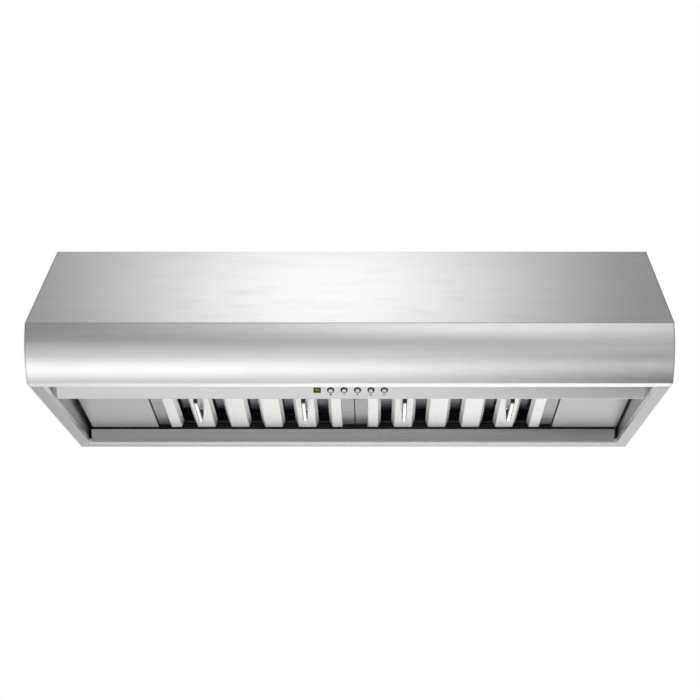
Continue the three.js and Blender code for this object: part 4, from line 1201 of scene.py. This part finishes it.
def button_guide():
    """A plate behind the strip with a round black collar for each button."""
    outline = rectangle(-62, 62, BUTTON_ROW - 8, BUTTON_ROW + 12)
    plate = prism("plate", outline, GUIDE_BACK, GUIDE_FRONT, BLACK_PLASTIC, plane=CONTROL_PLANE)
    bits = [strip_tool(button_x(i), 4.6) for i in range(5)]
    punched(plate, [*bits, prism("bit", display_outline(2, 2), -6, 6, BLACK_PLASTIC, plane=CONTROL_PLANE)])
    profile = [(5.36, GUIDE_BACK), (5.36, -0.7), (5.2, -0.5), (3.8, -0.5), (3.5, -0.8), (3.5, GUIDE_BACK)]
    collars = []
    for i in range(5):
        centre = (button_x(i), BUTTON_ROW)
        collars.append(turned("collar", profile, centre, BLACK_PLASTIC, CONTROL_PLANE, closed=True, sides=48))
    fitted(joined("finished_button_guide", [plate, *collars]), "canopy", "black_plastic", "button_guide")


def button_cap(index, name):
    """A round cap with a shallow dish, and the disc behind the guide that keeps it in."""
    back = GUIDE_BACK - 3
    profile = [(0, back), (4.65, back), (4.65, back + 1), (3.15, back + 1), (3.15, 1.4), (3.05, 1.75)]
    profile += [(2.8, 1.92), (2.3, 1.98), (1.3, 1.85), (0, 1.8)]
    centre = (button_x(index), BUTTON_ROW)
    cap = turned(f"finished_{name}_button", profile, centre, BUTTON_PLASTIC, CONTROL_PLANE, sides=48)
    fitted(cap, f"{name}_push", "button_cap", f"{name}_button")


def ring_outline(centre, outer, inner, start, stop):
    """An open ring between two angles in degrees."""
    return [*arc(centre, outer, start, stop, 24), *arc(centre, inner, stop, start, 24)]


def symbols():
    """Plain printed marks: a clock, a lamp, down, up and on-off."""
    y = SYMBOL_ROW
    clock, lamp, down, up, power = (button_x(i) for i in range(5))
    marks = [
        ring_outline((clock, y), 1.6, 0.95, 0, 359.5),
        rectangle(clock - 0.25, clock + 0.25, y - 0.1, y + 1.0),
        rectangle(clock - 0.2, clock + 0.9, y - 0.25, y + 0.2),
        ring_outline((lamp, y + 0.35), 1.4, 0.95, -50, 230),
        rectangle(lamp - 0.7, lamp + 0.7, y - 1.3, y - 0.8),
        [(down - 1.75, y + 1.2), (down, y - 1.6), (down + 1.75, y + 1.2)],
        [(up - 1.75, y - 1.2), (up + 1.75, y - 1.2), (up, y + 1.6)],
        ring_outline((power, y), 1.6, 1.1, 120, 420),
        rectangle(power - 0.25, power + 0.25, y + 0.1, y + 1.9),
    ]
    parts = [prism("mark", mark, 0.01, 0.06, SYMBOL_INK, plane=CONTROL_PLANE) for mark in marks]
    fitted(joined("button_symbols", parts), "canopy", "black_plastic")


FIGURE_BARS = (
    (-0.8, 0.8, 1.85, 2.2),
    (-0.8, 0.8, -0.17, 0.17),
    (-0.8, 0.8, -2.2, -1.85),
    (-1.05, -0.7, 0.2, 2.0),
    (0.7, 1.05, 0.2, 2.0),
    (0.7, 1.05, -2.0, -0.2),
)


def display():
    """A black frame, a lit face behind a clear window, and two dark figures."""
    x = DISPLAY["x"]
    left, right = x - DISPLAY["half_x"], x + DISPLAY["half_x"]
    low, high = BUTTON_ROW - DISPLAY["half_y"], BUTTON_ROW + DISPLAY["half_y"]
    wide, tall = DISPLAY_FRAME
    frame_sides = [
        rectangle(left, right, high - tall, high),
        rectangle(left, right, low, low + tall),
        rectangle(left, left + wide, low, high),
        rectangle(right - wide, right, low, high),
    ]
    parts = [prism("side", side, -0.9, 0.2, BLACK_PLASTIC, plane=CONTROL_PLANE) for side in frame_sides]
    pane = display_outline(-wide, -tall)
    parts.append(prism("pane", pane, -1.0, -0.3, DISPLAY_GLASS, plane=CONTROL_PLANE))
    fitted(joined("finished_display_window", parts), "canopy", "display_glass", "display_window")

    body = refined("display_module", BLACK_PLASTIC)
    face = prism("face", pane, -1.58, -1.5, GLOW, plane=CONTROL_PLANE)
    figures = []
    for centre in (x - 1.5, x + 1.5):
        for x0, x1, y0, y1 in FIGURE_BARS:
            bar = rectangle(centre + x0, centre + x1, BUTTON_ROW + y0, BUTTON_ROW + y1)
            figures.append(prism("bar", bar, -1.5, -1.46, DARK_SEGMENT, plane=CONTROL_PLANE))
    module = joined("finished_display_module", [body, face, *figures])
    fitted(module, "canopy", "black_plastic", "display_module")


def control_board():
    board = softened(refined("control_board", SOLDER_MASK), 0.15)
    fitted(board, "canopy", "circuit_board", "control_board")


# ------------------------------------------------------------------ filters


END_CUT = 7.0
RAIL_BASE = 6.0
RAIL_WIDTH = 14.0
UPPER_BASE = 12.0


def channel_bar(name, left, right, base, up, ends, material, wings=(True, True)):
    """A shallow channel along the filter, its wings trimmed at an angle at both ends."""

    def section(share):
        path = []
        if wings[0]:
            path.append((left - BAR_CHAMFER * share, base + up * BAR_HEIGHT * share))
        path += [(left, base), (right, base)]
        if wings[1]:
            path.append((right + BAR_CHAMFER * share, base + up * BAR_HEIGHT * share))
        return rounded(path, 1.6, 3)

    trimmed, whole = section(0.2), section(1.0)
    start, stop = ends
    stations = [(trimmed, start), (whole, start + END_CUT), (whole, stop - END_CUT), (trimmed, stop)]
    return finished_mesh(name, lofted(stations, up * 1.0, along_y), material, FILTER_PLANE)


def filter_rail(left, right, edge, inward):
    """A channel that holds the ends of the bars; its sides in the shade are darker."""
    flange = edge + inward * RAIL_WIDTH
    path = [(flange, RAIL_BASE), (edge, RAIL_BASE), (edge, FILTER_HEIGHT), (flange, FILTER_HEIGHT)]
    # Painted shade: the rail is the shaded frame steel, with near-black shaded steel on its faces that point
    # down or into the filter.
    rail = folded("rail", path, -inward * SHEET, left, right, SHADED_FRAME_STEEL, plane=FILTER_PLANE)
    return refaced(rail, SHADED_STEEL, lambda _, normal: normal.z < -0.3 or inward * normal.y > 0.3)


def filter_end_strip(edge, inward):
    """The angle that closes the frame at its left or right end."""
    path = [(edge + inward * END_STRIP, 3), (edge, 3), (edge, FILTER_HEIGHT)]
    # Painted shade: the end strip is made of the shaded frame steel.
    return folded("end", path, -inward * SHEET, 0, FILTER_SIDE, SHADED_FRAME_STEEL, along_y, FILTER_PLANE, 0.7)


def filter_rivets(first, count, v, height, radius):
    """A row of rivet heads across the filter, one at each bar."""
    spot = FILTER_PLANE @ Vector((first, v, height))
    tilt = (-FILTER_TILT, 0, 0)
    return row("rivets", rivet_head(radius), count, spot, (BAR_PITCH, 0, 0), PLATED, tilt)


def filter_frame(side):
    """Two rails, two end strips, four whole lower bars and half a bar at each end."""
    centre = FILTER_CENTRES[side]
    left = centre - FILTER_SIDE / 2
    right = centre + FILTER_SIDE / 2
    parts = [
        filter_rail(left, right, 0, 1),
        filter_rail(left, right, FILTER_SIDE, -1),
        filter_end_strip(left, 1),
        filter_end_strip(right, -1),
    ]
    half = BAR_FLAT / 2
    bar = channel_bar("bar", -half, half, 0, 1, (0, FILTER_SIDE), BAFFLE_STEEL)
    parts.append(row("bars", bar, 4, (centre - 1.5 * BAR_PITCH, 0, 0), (BAR_PITCH, 0, 0), BAFFLE_STEEL))
    inner_edge = 2.5 * BAR_PITCH - half
    outer_edge = FILTER_SIDE / 2 - END_STRIP + 1
    for sign in (-1, 1):
        edges = sorted((centre + sign * inner_edge, centre + sign * outer_edge))
        wings = (sign > 0, sign < 0)
        parts.append(channel_bar("half_bar", *edges, 0, 1, (0, FILTER_SIDE), BAFFLE_STEEL, wings))
        edge = centre + sign * outer_edge
        step = rectangle(*sorted((edge, edge - sign)), 0, FILTER_SIDE)
        parts.append(prism("step", step, 0, 6, BAFFLE_STEEL, plane=FILTER_PLANE))
    for v in (7, FILTER_SIDE - 7):
        parts.append(filter_rivets(centre - 2.5 * BAR_PITCH, 6, v, FILTER_HEIGHT, 2.4))
    whole = joined(f"finished_{side}_filter_frame", parts)
    fitted(softened(whole, 0.15), f"{side}_filter", "baffle_steel", f"{side}_filter_frame")


STRAP = {"width": 12.0, "half_thick": 0.6}


def upper_baffles(side):
    """Five bars turned over above the gaps, held by two riveted straps."""
    centre = FILTER_CENTRES[side]
    inset = RAIL_WIDTH + 2
    top = UPPER_BASE + BAR_HEIGHT
    wide, thick = STRAP["width"], STRAP["half_thick"]
    half = BAR_FLAT / 2
    # Painted shade: the upper bars are dark bluish steel, and their upward faces take the shaded frame steel.
    bar = channel_bar("bar", -half, half, top, -1, (inset, FILTER_SIDE - inset), SHADED_UPPER_STEEL)
    refaced(bar, SHADED_FRAME_STEEL, lambda _, normal: normal.z > 0.3)
    parts = [row("bars", bar, 5, (centre - 2 * BAR_PITCH, 0, 0), (BAR_PITCH, 0, 0), SHADED_UPPER_STEEL)]
    reach = 2 * BAR_PITCH + half + BAR_CHAMFER
    for v in (inset, FILTER_SIDE - inset - wide):
        strap = rectangle(centre - reach, centre + reach, v, v + wide)
        parts.append(prism("strap", strap, top - thick, top + thick, SHADED_UPPER_STEEL, plane=FILTER_PLANE))
        parts.append(filter_rivets(centre - 2 * BAR_PITCH, 5, v + wide / 2, top + thick, 2.0))
    whole = joined(f"finished_{side}_filter_upper_baffles", parts)
    fitted(softened(whole, 0.15), f"{side}_filter", "baffle_steel", f"{side}_filter_upper_baffles")


HANDLE = {"length": 108.0, "drop": 22.0, "radius": 3.5, "bend": 12.0}


def filter_handle(side, place, x):
    """A bent chrome rod on two small round feet."""
    front = (FILTER_SIDE - HANDLE["length"]) / 2
    back = (FILTER_SIDE + HANDLE["length"]) / 2
    low = HANDLE["radius"] - HANDLE["drop"]
    drawn = [(front, -GAP), (front, low), (back, low), (back, -GAP)]
    points = [Vector((x, p.x, p.y)) for p in rounded(drawn, HANDLE["bend"], 12)]
    parts = [rod("grip", points, HANDLE["radius"], HANDLE_CHROME, Vector((1, 0, 0)), FILTER_PLANE, 28)]
    foot = [(0, -1.6), (3.8, -1.6), (4.6, -1.2), (5.0, -0.8), (5.0, -GAP), (0, -GAP)]
    for v in (front, back):
        parts.append(turned("foot", foot, (x, v), CHROME, FILTER_PLANE, sides=36))
    grip = joined(f"finished_{side}_filter_{place}_handle", parts)
    fitted(grip, f"{side}_filter", "handle_chrome", f"{side}_filter_{place}_handle")


FILLERS = {"left": (-428.5, -319.2), "right": (326.2, 432.5)}
FILLER_FLANGE = 14.0
LAMP = {"x": 377.0, "v": 58.0, "radius": 30.0}


def filler_panel(side, sign):
    """The plain panel beside a filter, with the lamp's hole."""
    left, right = FILLERS[side]
    path = [(left, FILLER_FLANGE), (left, 0), (right, 0), (right, FILLER_FLANGE)]
    panel = folded("panel", path, SHEET, 0, FILTER_SIDE, PANEL_STEEL, along_y, FILTER_PLANE, 0.7)
    radius = LAMP["radius"] + 1
    profile = [(0, -3), (radius, -3), (radius, 5), (0, 5)]
    centre = (sign * LAMP["x"], LAMP["v"])
    punched(panel, [turned("bit", profile, centre, PANEL_STEEL, FILTER_PLANE)])
    panel.name = f"finished_{side}_filler_panel"
    fitted(softened(panel, 0.15), "canopy", "panel_steel", f"{side}_filler_panel")


def lamp(side, sign):
    """A recessed puck lamp: can, pressed bezel, and a lens with rings moulded in it."""
    centre = (sign * LAMP["x"], LAMP["v"])
    r = LAMP["radius"]
    can = [(r, 0.5), (r, 1.5), (r + 5, 1.5), (r + 5, 3), (r, 3), (r, 25), (r - 1, 26), (0, 26)]
    can += [(0, 24.5), (r - 2, 24.5), (r - 1.5, 24), (r - 1.5, 0.5)]
    housing = turned("can", can, centre, GALVANISED, FILTER_PLANE)
    reflector = [(0, 24.3), (8, 24.3), (r - 9, 16), (r - 3, 5)]
    reflector += [(r - 3.4, 5), (r - 9.4, 15.6), (8, 23.9), (0, 23.9)]
    dish = turned("dish", reflector, centre, CHROME, FILTER_PLANE)
    source = [(0, 23.8), (6, 23.8), (6, 22.6), (0, 22.2)]
    emitter = turned("emitter", source, centre, LED_GLOW, FILTER_PLANE, sides=32)
    whole = joined(f"finished_{side}_lamp_housing", [housing, dish, emitter])
    fitted(whole, "canopy", "galvanised_sheet", f"{side}_lamp_housing")
    bezel = [(r - 4, -GAP), (r - 4, -1.2), (r - 2.5, -2), (r + 2, -2), (r + 5, -1.3), (r + 6, -GAP)]
    trim = turned(f"finished_{side}_lamp_bezel", bezel, centre, CHROME, FILTER_PLANE, closed=True)
    fitted(trim, "canopy", "plated_steel", f"{side}_lamp_bezel")
    face = [(0, 4), (r - 2, 4), (r - 2, 1)]
    steps = 9
    for i in range(1, steps):
        radius = (r - 2) * (1 - i / steps)
        face += [(radius + 1.2, 1.0), (radius + 0.4, 1.35), (radius, 1.0)]
    face.append((0, 1.0))
    lens = turned(f"finished_{side}_lamp_lens", face, centre, LAMP_GLASS, FILTER_PLANE, sharp=15)
    fitted(lens, "canopy", "lamp_glass", f"{side}_lamp_lens")


# ------------------------------------------------------------------ rails and rear strip


def support_rail(name, path, first_rivet, lean):
    """A folded rail across the hood with nine rivets."""
    rail = folded("rail", path, SHEET, -STRIP_HALF, STRIP_HALF, GALVANISED)
    rivets = row("rivets", rivet_head(), 9, first_rivet, (100, 0, 0), PLATED, tilt=(lean, 0, 0))
    whole = joined(f"finished_{name}", [rail, rivets])
    fitted(softened(whole, 0.2), "canopy", "galvanised_sheet", name)


def front_rail():
    front = STRIP_EDGE[0] + 1
    support_rail("front_rail", [(front, 70), (front, 84), (-70, 84), (-70, 96)], (-400, -93, 84), math.pi)


def rear_rail():
    support_rail("rear_rail", [(204, 50), (240, 50), (240, 84)], (-400, 240, 68), math.pi / 2)


def rear_strip():
    """The sloping strip with its hem, below the upright that carries it, which is painted near-black as
    shade.
    """
    path = [(229, 21.5), (229, 20.5), (244.4, 2.5), (244.4, 8.5)]
    # Painted shade: the sloping face is dark, glossy shaded steel.
    face = folded("face", path, 1.0, -STRIP_HALF, STRIP_HALF, SHADED_REAR_STEEL, radius=0.6)
    # Painted shade: the upright is near-black shaded steel.
    upright = folded("upright", [(229, 49), (229, 21)], 1.0, -STRIP_HALF, STRIP_HALF, SHADED_STEEL)
    whole = joined("finished_rear_strip", [face, upright])
    fitted(softened(whole, 0.15), "canopy", "strip_steel", "rear_strip")


def filter_catch(side):
    """A ferrite magnet in a thin plated cup."""
    low, high = (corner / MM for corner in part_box(f"{side}_filter_catch"))
    outline = rectangle(low.x + 6, high.x - 6, low.y + 1, high.y - 1)
    magnet = prism("magnet", outline, low.z, high.z - 1, FERRITE)
    path = [(low.y, low.z + 0.8), (low.y, high.z), (high.y, high.z), (high.y, low.z + 0.8)]
    cup = folded("cup", path, -0.8, low.x, high.x, PLATED, radius=1.0)
    whole = joined(f"finished_{side}_filter_catch", [softened(magnet, 0.3), cup])
    fitted(softened(whole, 0.2), "canopy", "magnet", f"{side}_filter_catch")


# ------------------------------------------------------------------ blowers


SCROLL = {"base": 115.0, "top": 215.0, "least": 106.0, "most": 140.0, "mouth": 96.0, "deep": 88.0}
SCROLL_SWEEP = math.radians(290)
SCROLL_SHEET = 1.5
WHEEL = {"radius": 95.0, "inner": 79.0, "base": 122.0, "top": 190.0, "blades": 42}
MOTOR = {"radius": 48.0, "base": 196.0, "top": 246.0}
INLET = 78.0
SHAFT_BORE = 4.3
HANGER_CIRCLE = 92.0


def blower_centre(sign):
    return (sign * BLOWER["x"], BLOWER["y"])


def scroll_outline(sign, steps=72):
    """Plan of the snail, mirrored for the left blower."""
    growth = SCROLL["most"] - SCROLL["least"]
    points = [(SCROLL["mouth"], BLOWER["y"] + SCROLL["most"])]
    for i in range(steps + 1):
        angle = math.pi / 2 - SCROLL_SWEEP * i / steps
        radius = SCROLL["most"] - growth * i / steps
        points.append((BLOWER["x"] + radius * math.cos(angle), BLOWER["y"] + radius * math.sin(angle)))
    points.append((SCROLL["mouth"], BLOWER["y"] + SCROLL["most"] - SCROLL["deep"]))
    return [(sign * x, y) for x, y in points]


def blower_housing(side, sign):
    """Wrapped scroll between two plates, with a pressed bead and three hangers."""
    centre = blower_centre(sign)
    base, top, sheet = SCROLL["base"], SCROLL["top"], SCROLL_SHEET
    outline = scroll_outline(sign)
    wall_path = [Vector(point) for point in outline]
    around = lofted([(wall_path, base), (wall_path, top)], -sign * sheet, along_z)
    wall = finished_mesh("wall", around, GALVANISED)
    plates = []
    for low, radius in ((base, INLET), (top - sheet, MOTOR["radius"] + 3)):
        plate = prism("plate", outline, low, low + sheet, GALVANISED)
        punched(plate, [upright_tool(*centre, radius, low - 3, low + sheet + 3)])
        plates.append(plate)
    ridge = [(84, top - 0.2), (85.5, top + 1.6), (88.5, top + 1.6), (90, top - 0.2)]
    bead = turned("bead", ridge, centre, GALVANISED, closed=True, sides=72)
    hangers = []
    for angle in (20, 140, 250):
        x = centre[0] + sign * HANGER_CIRCLE * math.cos(math.radians(angle))
        y = centre[1] + HANGER_CIRCLE * math.sin(math.radians(angle)) - 1
        path = [(y, top), (y, UNDER_TOP), (y + 14, UNDER_TOP)]
        hangers.append(folded("hanger", path, -sheet, x - 9, x + 9, GALVANISED, radius=2.0))
    housing = joined(f"finished_{side}_blower_housing", [wall, *plates, bead, *hangers])
    fitted(softened(housing, 0.2), "canopy", "galvanised_sheet", f"{side}_blower_housing")


def inlet_ring(side, sign):
    """The rounded mouth that leads the air into the wheel, riveted under the housing."""
    seat = SCROLL["base"] - GAP
    throat = INLET - 5
    profile = [
        (INLET + 14, seat),
        (INLET + 14, seat - 1.2),
        (INLET + 5.5, seat - 2.2),
        (INLET + 3, seat - 2.4),
        (INLET, seat - 1.9),
        (INLET - 3, seat + 0.2),
        (throat, seat + 3.3),
        (throat, seat + 6.3),
        (throat + 1.2, seat + 6.3),
        (throat + 1.2, seat + 3.3),
        (INLET - 1.4, seat),
    ]
    centre = blower_centre(sign)
    bell = turned("bell", profile, centre, GALVANISED, closed=True, sides=96)
    rivet = rivet_head(2.2)
    rivet.data.transform(Matrix.Rotation(math.pi, 4, "X"))
    rivet.data.transform(Matrix.Translation(((INLET + 10.5) * MM, 0, (seat - 1.5) * MM)))
    rivets = ring_of("rivets", rivet, 6, centre, PLATED)
    whole = joined(f"finished_{side}_inlet_ring", [bell, rivets])
    fitted(whole, "canopy", "galvanised_sheet", f"{side}_inlet_ring")


def blade(sign):
    """One forward-curved vane, drawn about the wheel's axis."""
    depth = WHEEL["radius"] - WHEEL["inner"] - 2
    inner = WHEEL["inner"] + 1
    path = []
    steps = 5
    for i in range(steps + 1):
        share = i / steps
        radius = inner + depth * share
        angle = sign * (1.0 + 6.5 * share ** 2) / radius
        path.append(Vector((radius * math.cos(angle), radius * math.sin(angle))))
    shape = lofted([(path, WHEEL["base"] + 1), (path, WHEEL["top"] - 1)], 0.7, along_z)
    return finished_mesh("blade", shape, WHEEL_ZINC)


def impeller(side, sign):
    """A wheel of curved blades between a rim and a dished plate."""
    centre = blower_centre(sign)
    base, top = WHEEL["base"], WHEEL["top"]
    outer, inner = WHEEL["radius"], WHEEL["inner"]
    rim = [(outer, base), (outer, base + 3), (inner + 0.6, base + 3)]
    rim += [(inner, base + 2), (inner, base), (outer - 1, base - 0.4)]
    plate = [
        (SHAFT_BORE, top - 16),
        (14, top - 16),
        (14, top - 4),
        (20, top - 2.6),
        (44, top - 2.6),
        (48, top - 4.4),
        (60, top - 4.4),
        (64, top - 2.6),
        (outer, top - 2.6),
        (outer, top),
        (64, top),
        (60, top - 1.6),
        (48, top - 1.6),
        (44, top),
        (SHAFT_BORE, top),
    ]
    parts = [
        turned("rim", rim, centre, WHEEL_ZINC, closed=True, sides=96),
        turned("plate", plate, centre, WHEEL_ZINC, closed=True, sides=96),
        ring_of("blades", blade(sign), WHEEL["blades"], centre, WHEEL_ZINC),
    ]
    fitted(joined(f"finished_{side}_impeller", parts), f"{side}_rotor", "impeller_steel", f"{side}_impeller")


def motor(side, sign):
    """A painted can with cooling ribs and a flange with four screws."""
    centre = blower_centre(sign)
    r, base, top = MOTOR["radius"], MOTOR["base"], MOTOR["top"]
    flange = SCROLL["top"] + GAP
    profile = [(0, base - 3), (12, base - 3), (13, base - 2.4), (13, base), (r - 4, base), (r, base + 3)]
    profile += [(r, flange), (r + 19, flange), (r + 20, flange + 0.6), (r + 20, flange + 1.6)]
    profile += [(r + 19, flange + 2), (r + 1, flange + 2), (r, flange + 3), (r, top - 10)]
    profile += [(r - 2, top - 7), (r - 9, top - 6)]
    profile += [(r - 9, top - 1.5), (r - 10.5, top), (0, top)]
    can = turned("can", profile, centre, MOTOR_PAINT, sides=72)
    rib = prism("rib", rectangle(r - 0.4, r + 1.2, -1.1, 1.1), flange + 2, top - 10, MOTOR_PAINT)
    ribs = ring_of("ribs", rib, 24, centre, MOTOR_PAINT)
    screw = screw_head()
    screw.data.transform(Matrix.Translation(((r + 13) * MM, 0, (flange + 2) * MM)))
    screws = ring_of("screws", screw, 4, centre, PLATED)
    fitted(joined(f"finished_{side}_motor", [can, ribs, screws]), "canopy", "motor_case", f"{side}_motor")


def motor_shaft(side, sign):
    """A round shaft with a flat at its lower end for the wheel."""
    low = WHEEL["top"] - 19
    high = MOTOR["base"] - 3 - GAP
    profile = [(0, low), (3.4, low), (4, low + 0.6), (4, high - 0.6), (3.4, high), (0, high)]
    shaft = turned(f"finished_{side}_motor_shaft", profile, blower_centre(sign), PLATED, sides=32)
    x, y = blower_centre(sign)
    flat = prism("bit", rectangle(x - 10, x + 10, y + 3.3, y + 8), low - 1, low + 9, PLATED)
    fitted(punched(shaft, [flat]), f"{side}_rotor", "plated_steel", f"{side}_motor_shaft")


# ------------------------------------------------------------------ outlet and damper


def outlet_box():
    fitted(softened(refined("outlet_box", GALVANISED), 0.3), "canopy", "galvanised_sheet", "outlet_box")


def duct_collar():
    """A rolled collar with a stiffening bead, its flange clipped at the back to pass the back sheet."""
    under = UNDER_TOP
    inner = COLLAR - SHEET
    top = 1000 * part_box("duct_collar")[1].z
    profile = [
        (inner, under - SHEET),
        (COLLAR + 16, under - SHEET),
        (COLLAR + 16, under),
        (COLLAR + 1.4, under),
        (COLLAR, under + 1.4),
        (COLLAR, top - 12),
        (COLLAR + 1.0, top - 10.8),
        (COLLAR + 1.3, top - 9.8),
        (COLLAR + 1.0, top - 8.8),
        (COLLAR, top - 7.6),
        (COLLAR, top - 0.3),
        (COLLAR - 0.3, top),
        (inner + 0.3, top),
        (inner, top - 0.3),
        (inner, top - 7.6),
        (inner + 1.0, top - 8.8),
        (inner + 1.3, top - 9.8),
        (inner + 1.0, top - 10.8),
        (inner, top - 12),
    ]
    collar = turned("finished_duct_collar", profile, (0, DUCT_Y), GALVANISED, closed=True, sides=96)
    clipped = rectangle(-120, 120, HALF_DEPTH - BACK_FLANGE - GAP, HALF_DEPTH + 10)
    clip = prism("bit", clipped, under - 3, under + 0.4, GALVANISED)
    fitted(punched(collar, [clip]), "canopy", "galvanised_sheet", "duct_collar")


FLAP = {"z": 264.0, "thick": 1.0, "radius": 84.8, "edge": 3.0}


def damper_flap(sign, name):
    """Half a disc with a raised rim and a row of rivets beside the pin."""
    r, edge = FLAP["radius"], FLAP["edge"]
    low, high = FLAP["z"], FLAP["z"] + FLAP["thick"]

    def half_disc(radius, near):
        begin = math.degrees(math.asin(near / radius))
        return [(x, DUCT_Y + sign * y) for x, y in arc((0, 0), radius, begin, 180 - begin, 48)]

    plate = prism("plate", half_disc(r, edge), low, high, MILL_ALUMINIUM)
    raised = prism("raised", half_disc(r - 14, edge + 12), high - 0.1, high + 0.5, MILL_ALUMINIUM)
    recess = prism("bit", half_disc(r - 17, edge + 15), low, high + 2, MILL_ALUMINIUM)
    punched(raised, [recess])
    rivets = row("rivets", rivet_head(2.2), 4, (-54, DUCT_Y + sign * (edge + 6), high), (36, 0, 0), PLATED)
    flap = joined(f"finished_{name}_damper_flap", [softened(plate, 0.2), softened(raised, 0.2), rivets])
    fitted(flap, f"{name}_flap", "damper_aluminium", f"{name}_damper_flap")


def damper_pin():
    """The pin across the collar, with a thin washer at each end."""
    reach = COLLAR - SHEET - GAP
    middle = Matrix.Translation((0, DUCT_Y, FLAP["z"] + FLAP["thick"] / 2))
    pin_frame = middle @ Matrix.Rotation(math.pi / 2, 4, "Y")
    profile = [(0, -reach), (1.6, -reach), (2, -reach + 0.6), (2, reach - 0.6), (1.6, reach), (0, reach)]
    parts = [turned("pin", profile, (0, 0), PLATED, pin_frame, sides=32)]
    for sign in (-1, 1):
        a, b = sorted((sign * (reach - 3), sign * (reach - 4.2)))
        washer = [(2.0, a), (2.4, a), (2.4, b), (2.0, b)]
        parts.append(turned("washer", washer, (0, 0), PLATED, pin_frame, closed=True, sides=32))
    fitted(joined("finished_damper_pin", parts), "canopy", "plated_steel", "damper_pin")


# ------------------------------------------------------------------ wiring


def wiring_parts():
    """The wiring box and its cover with four screws."""
    fitted(softened(refined("wiring_box", GALVANISED), 0.4), "canopy", "galvanised_sheet", "wiring_box")
    cover = refined("wiring_box_cover", GALVANISED)
    low, high = (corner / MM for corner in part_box("wiring_box_cover"))
    apart = (high.x - low.x - 12, 0, 0)
    downwards = (math.pi, 0, 0)
    heads = [
        row("screws", screw_head(), 2, (low.x + 6, y, low.z), apart, PLATED, downwards, 3.0)
        for y in (low.y + 6, high.y - 6)
    ]
    whole = joined("finished_wiring_box_cover", [softened(cover, 0.3), *heads])
    fitted(whole, "canopy", "galvanised_sheet", "wiring_box_cover")


def cable_gland():
    """A snap-in bush with a rounded mouth."""
    lip_top = UNDER_TOP - 1.5 - GAP
    profile = [
        (7, lip_top - 2.6),
        (7.4, lip_top - 3),
        (14.4, lip_top - 3),
        (15, lip_top - 2.4),
        (15, lip_top),
        (10.7, lip_top),
        (10.7, TOP - 0.6),
        (10.1, TOP),
        (8.2, TOP),
        (7, TOP - 1.2),
    ]
    gland = turned("finished_cable_gland", profile, GLAND, BLACK_PLASTIC, closed=True, sides=48)
    fitted(gland, "canopy", "black_plastic", "cable_gland")


def capacitor():
    """The motors' capacitor, a beaded can that lies on its side, and its clip."""
    low, high = (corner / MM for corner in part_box("capacitor"))
    centre = (low + high) / 2
    radius = (high.z - low.z) / 2
    half = (high.x - low.x) / 2
    lie = Matrix.Translation(centre) @ Matrix.Rotation(math.pi / 2, 4, "Y")
    profile = [(0, -half), (radius - 1.5, -half), (radius, -half + 1.5), (radius, half - 3)]
    profile += [(radius - 1, half - 2.6), (radius - 1, half - 1.2), (radius - 2, half - 0.4)]
    profile += [(6, half - 0.4), (5, half), (0, half)]
    can = turned("finished_capacitor", profile, (0, 0), CAPACITOR_CASE, lie, sides=64)
    fitted(can, "canopy", "capacitor_case", "capacitor")
    fitted(softened(refined("capacitor_clip", PLATED, 40), 0.3), "canopy", "plated_steel", "capacitor_clip")


def power_board():
    """The board under the top, with black parts hanging from it."""
    board = refined("power_board", SOLDER_MASK)
    board_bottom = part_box("power_board")[1].z / MM - 2.5
    refaced(board, BLACK_PLASTIC, lambda middle, _: middle.z < board_bottom)
    fitted(softened(board, 0.3), "canopy", "circuit_board", "power_board")


# ------------------------------------------------------------------ assembly


front_wrapper()
back_panel()
top_panel()
control_strip()
button_guide()
for button_index, button_name in enumerate(BUTTONS):
    button_cap(button_index, button_name)
symbols()
display()
control_board()
for side_name, side_sign in (("left", -1), ("right", 1)):
    side_panel(side_sign, side_name)
    liner(side_sign, side_name)
    filter_frame(side_name)
    upper_baffles(side_name)
    for handle_place, bar_number in (("outer", 1.5), ("inner", -1.5)):
        handle_x = FILTER_CENTRES[side_name] + side_sign * bar_number * BAR_PITCH
        filter_handle(side_name, handle_place, handle_x)
    filler_panel(side_name, side_sign)
    lamp(side_name, side_sign)
    filter_catch(side_name)
    blower_housing(side_name, side_sign)
    inlet_ring(side_name, side_sign)
    impeller(side_name, side_sign)
    motor(side_name, side_sign)
    motor_shaft(side_name, side_sign)
front_rail()
rear_rail()
rear_strip()
outlet_box()
duct_collar()
damper_flap(-1, "front")
damper_flap(1, "rear")
damper_pin()
wiring_parts()
cable_gland()
capacitor()
power_board()
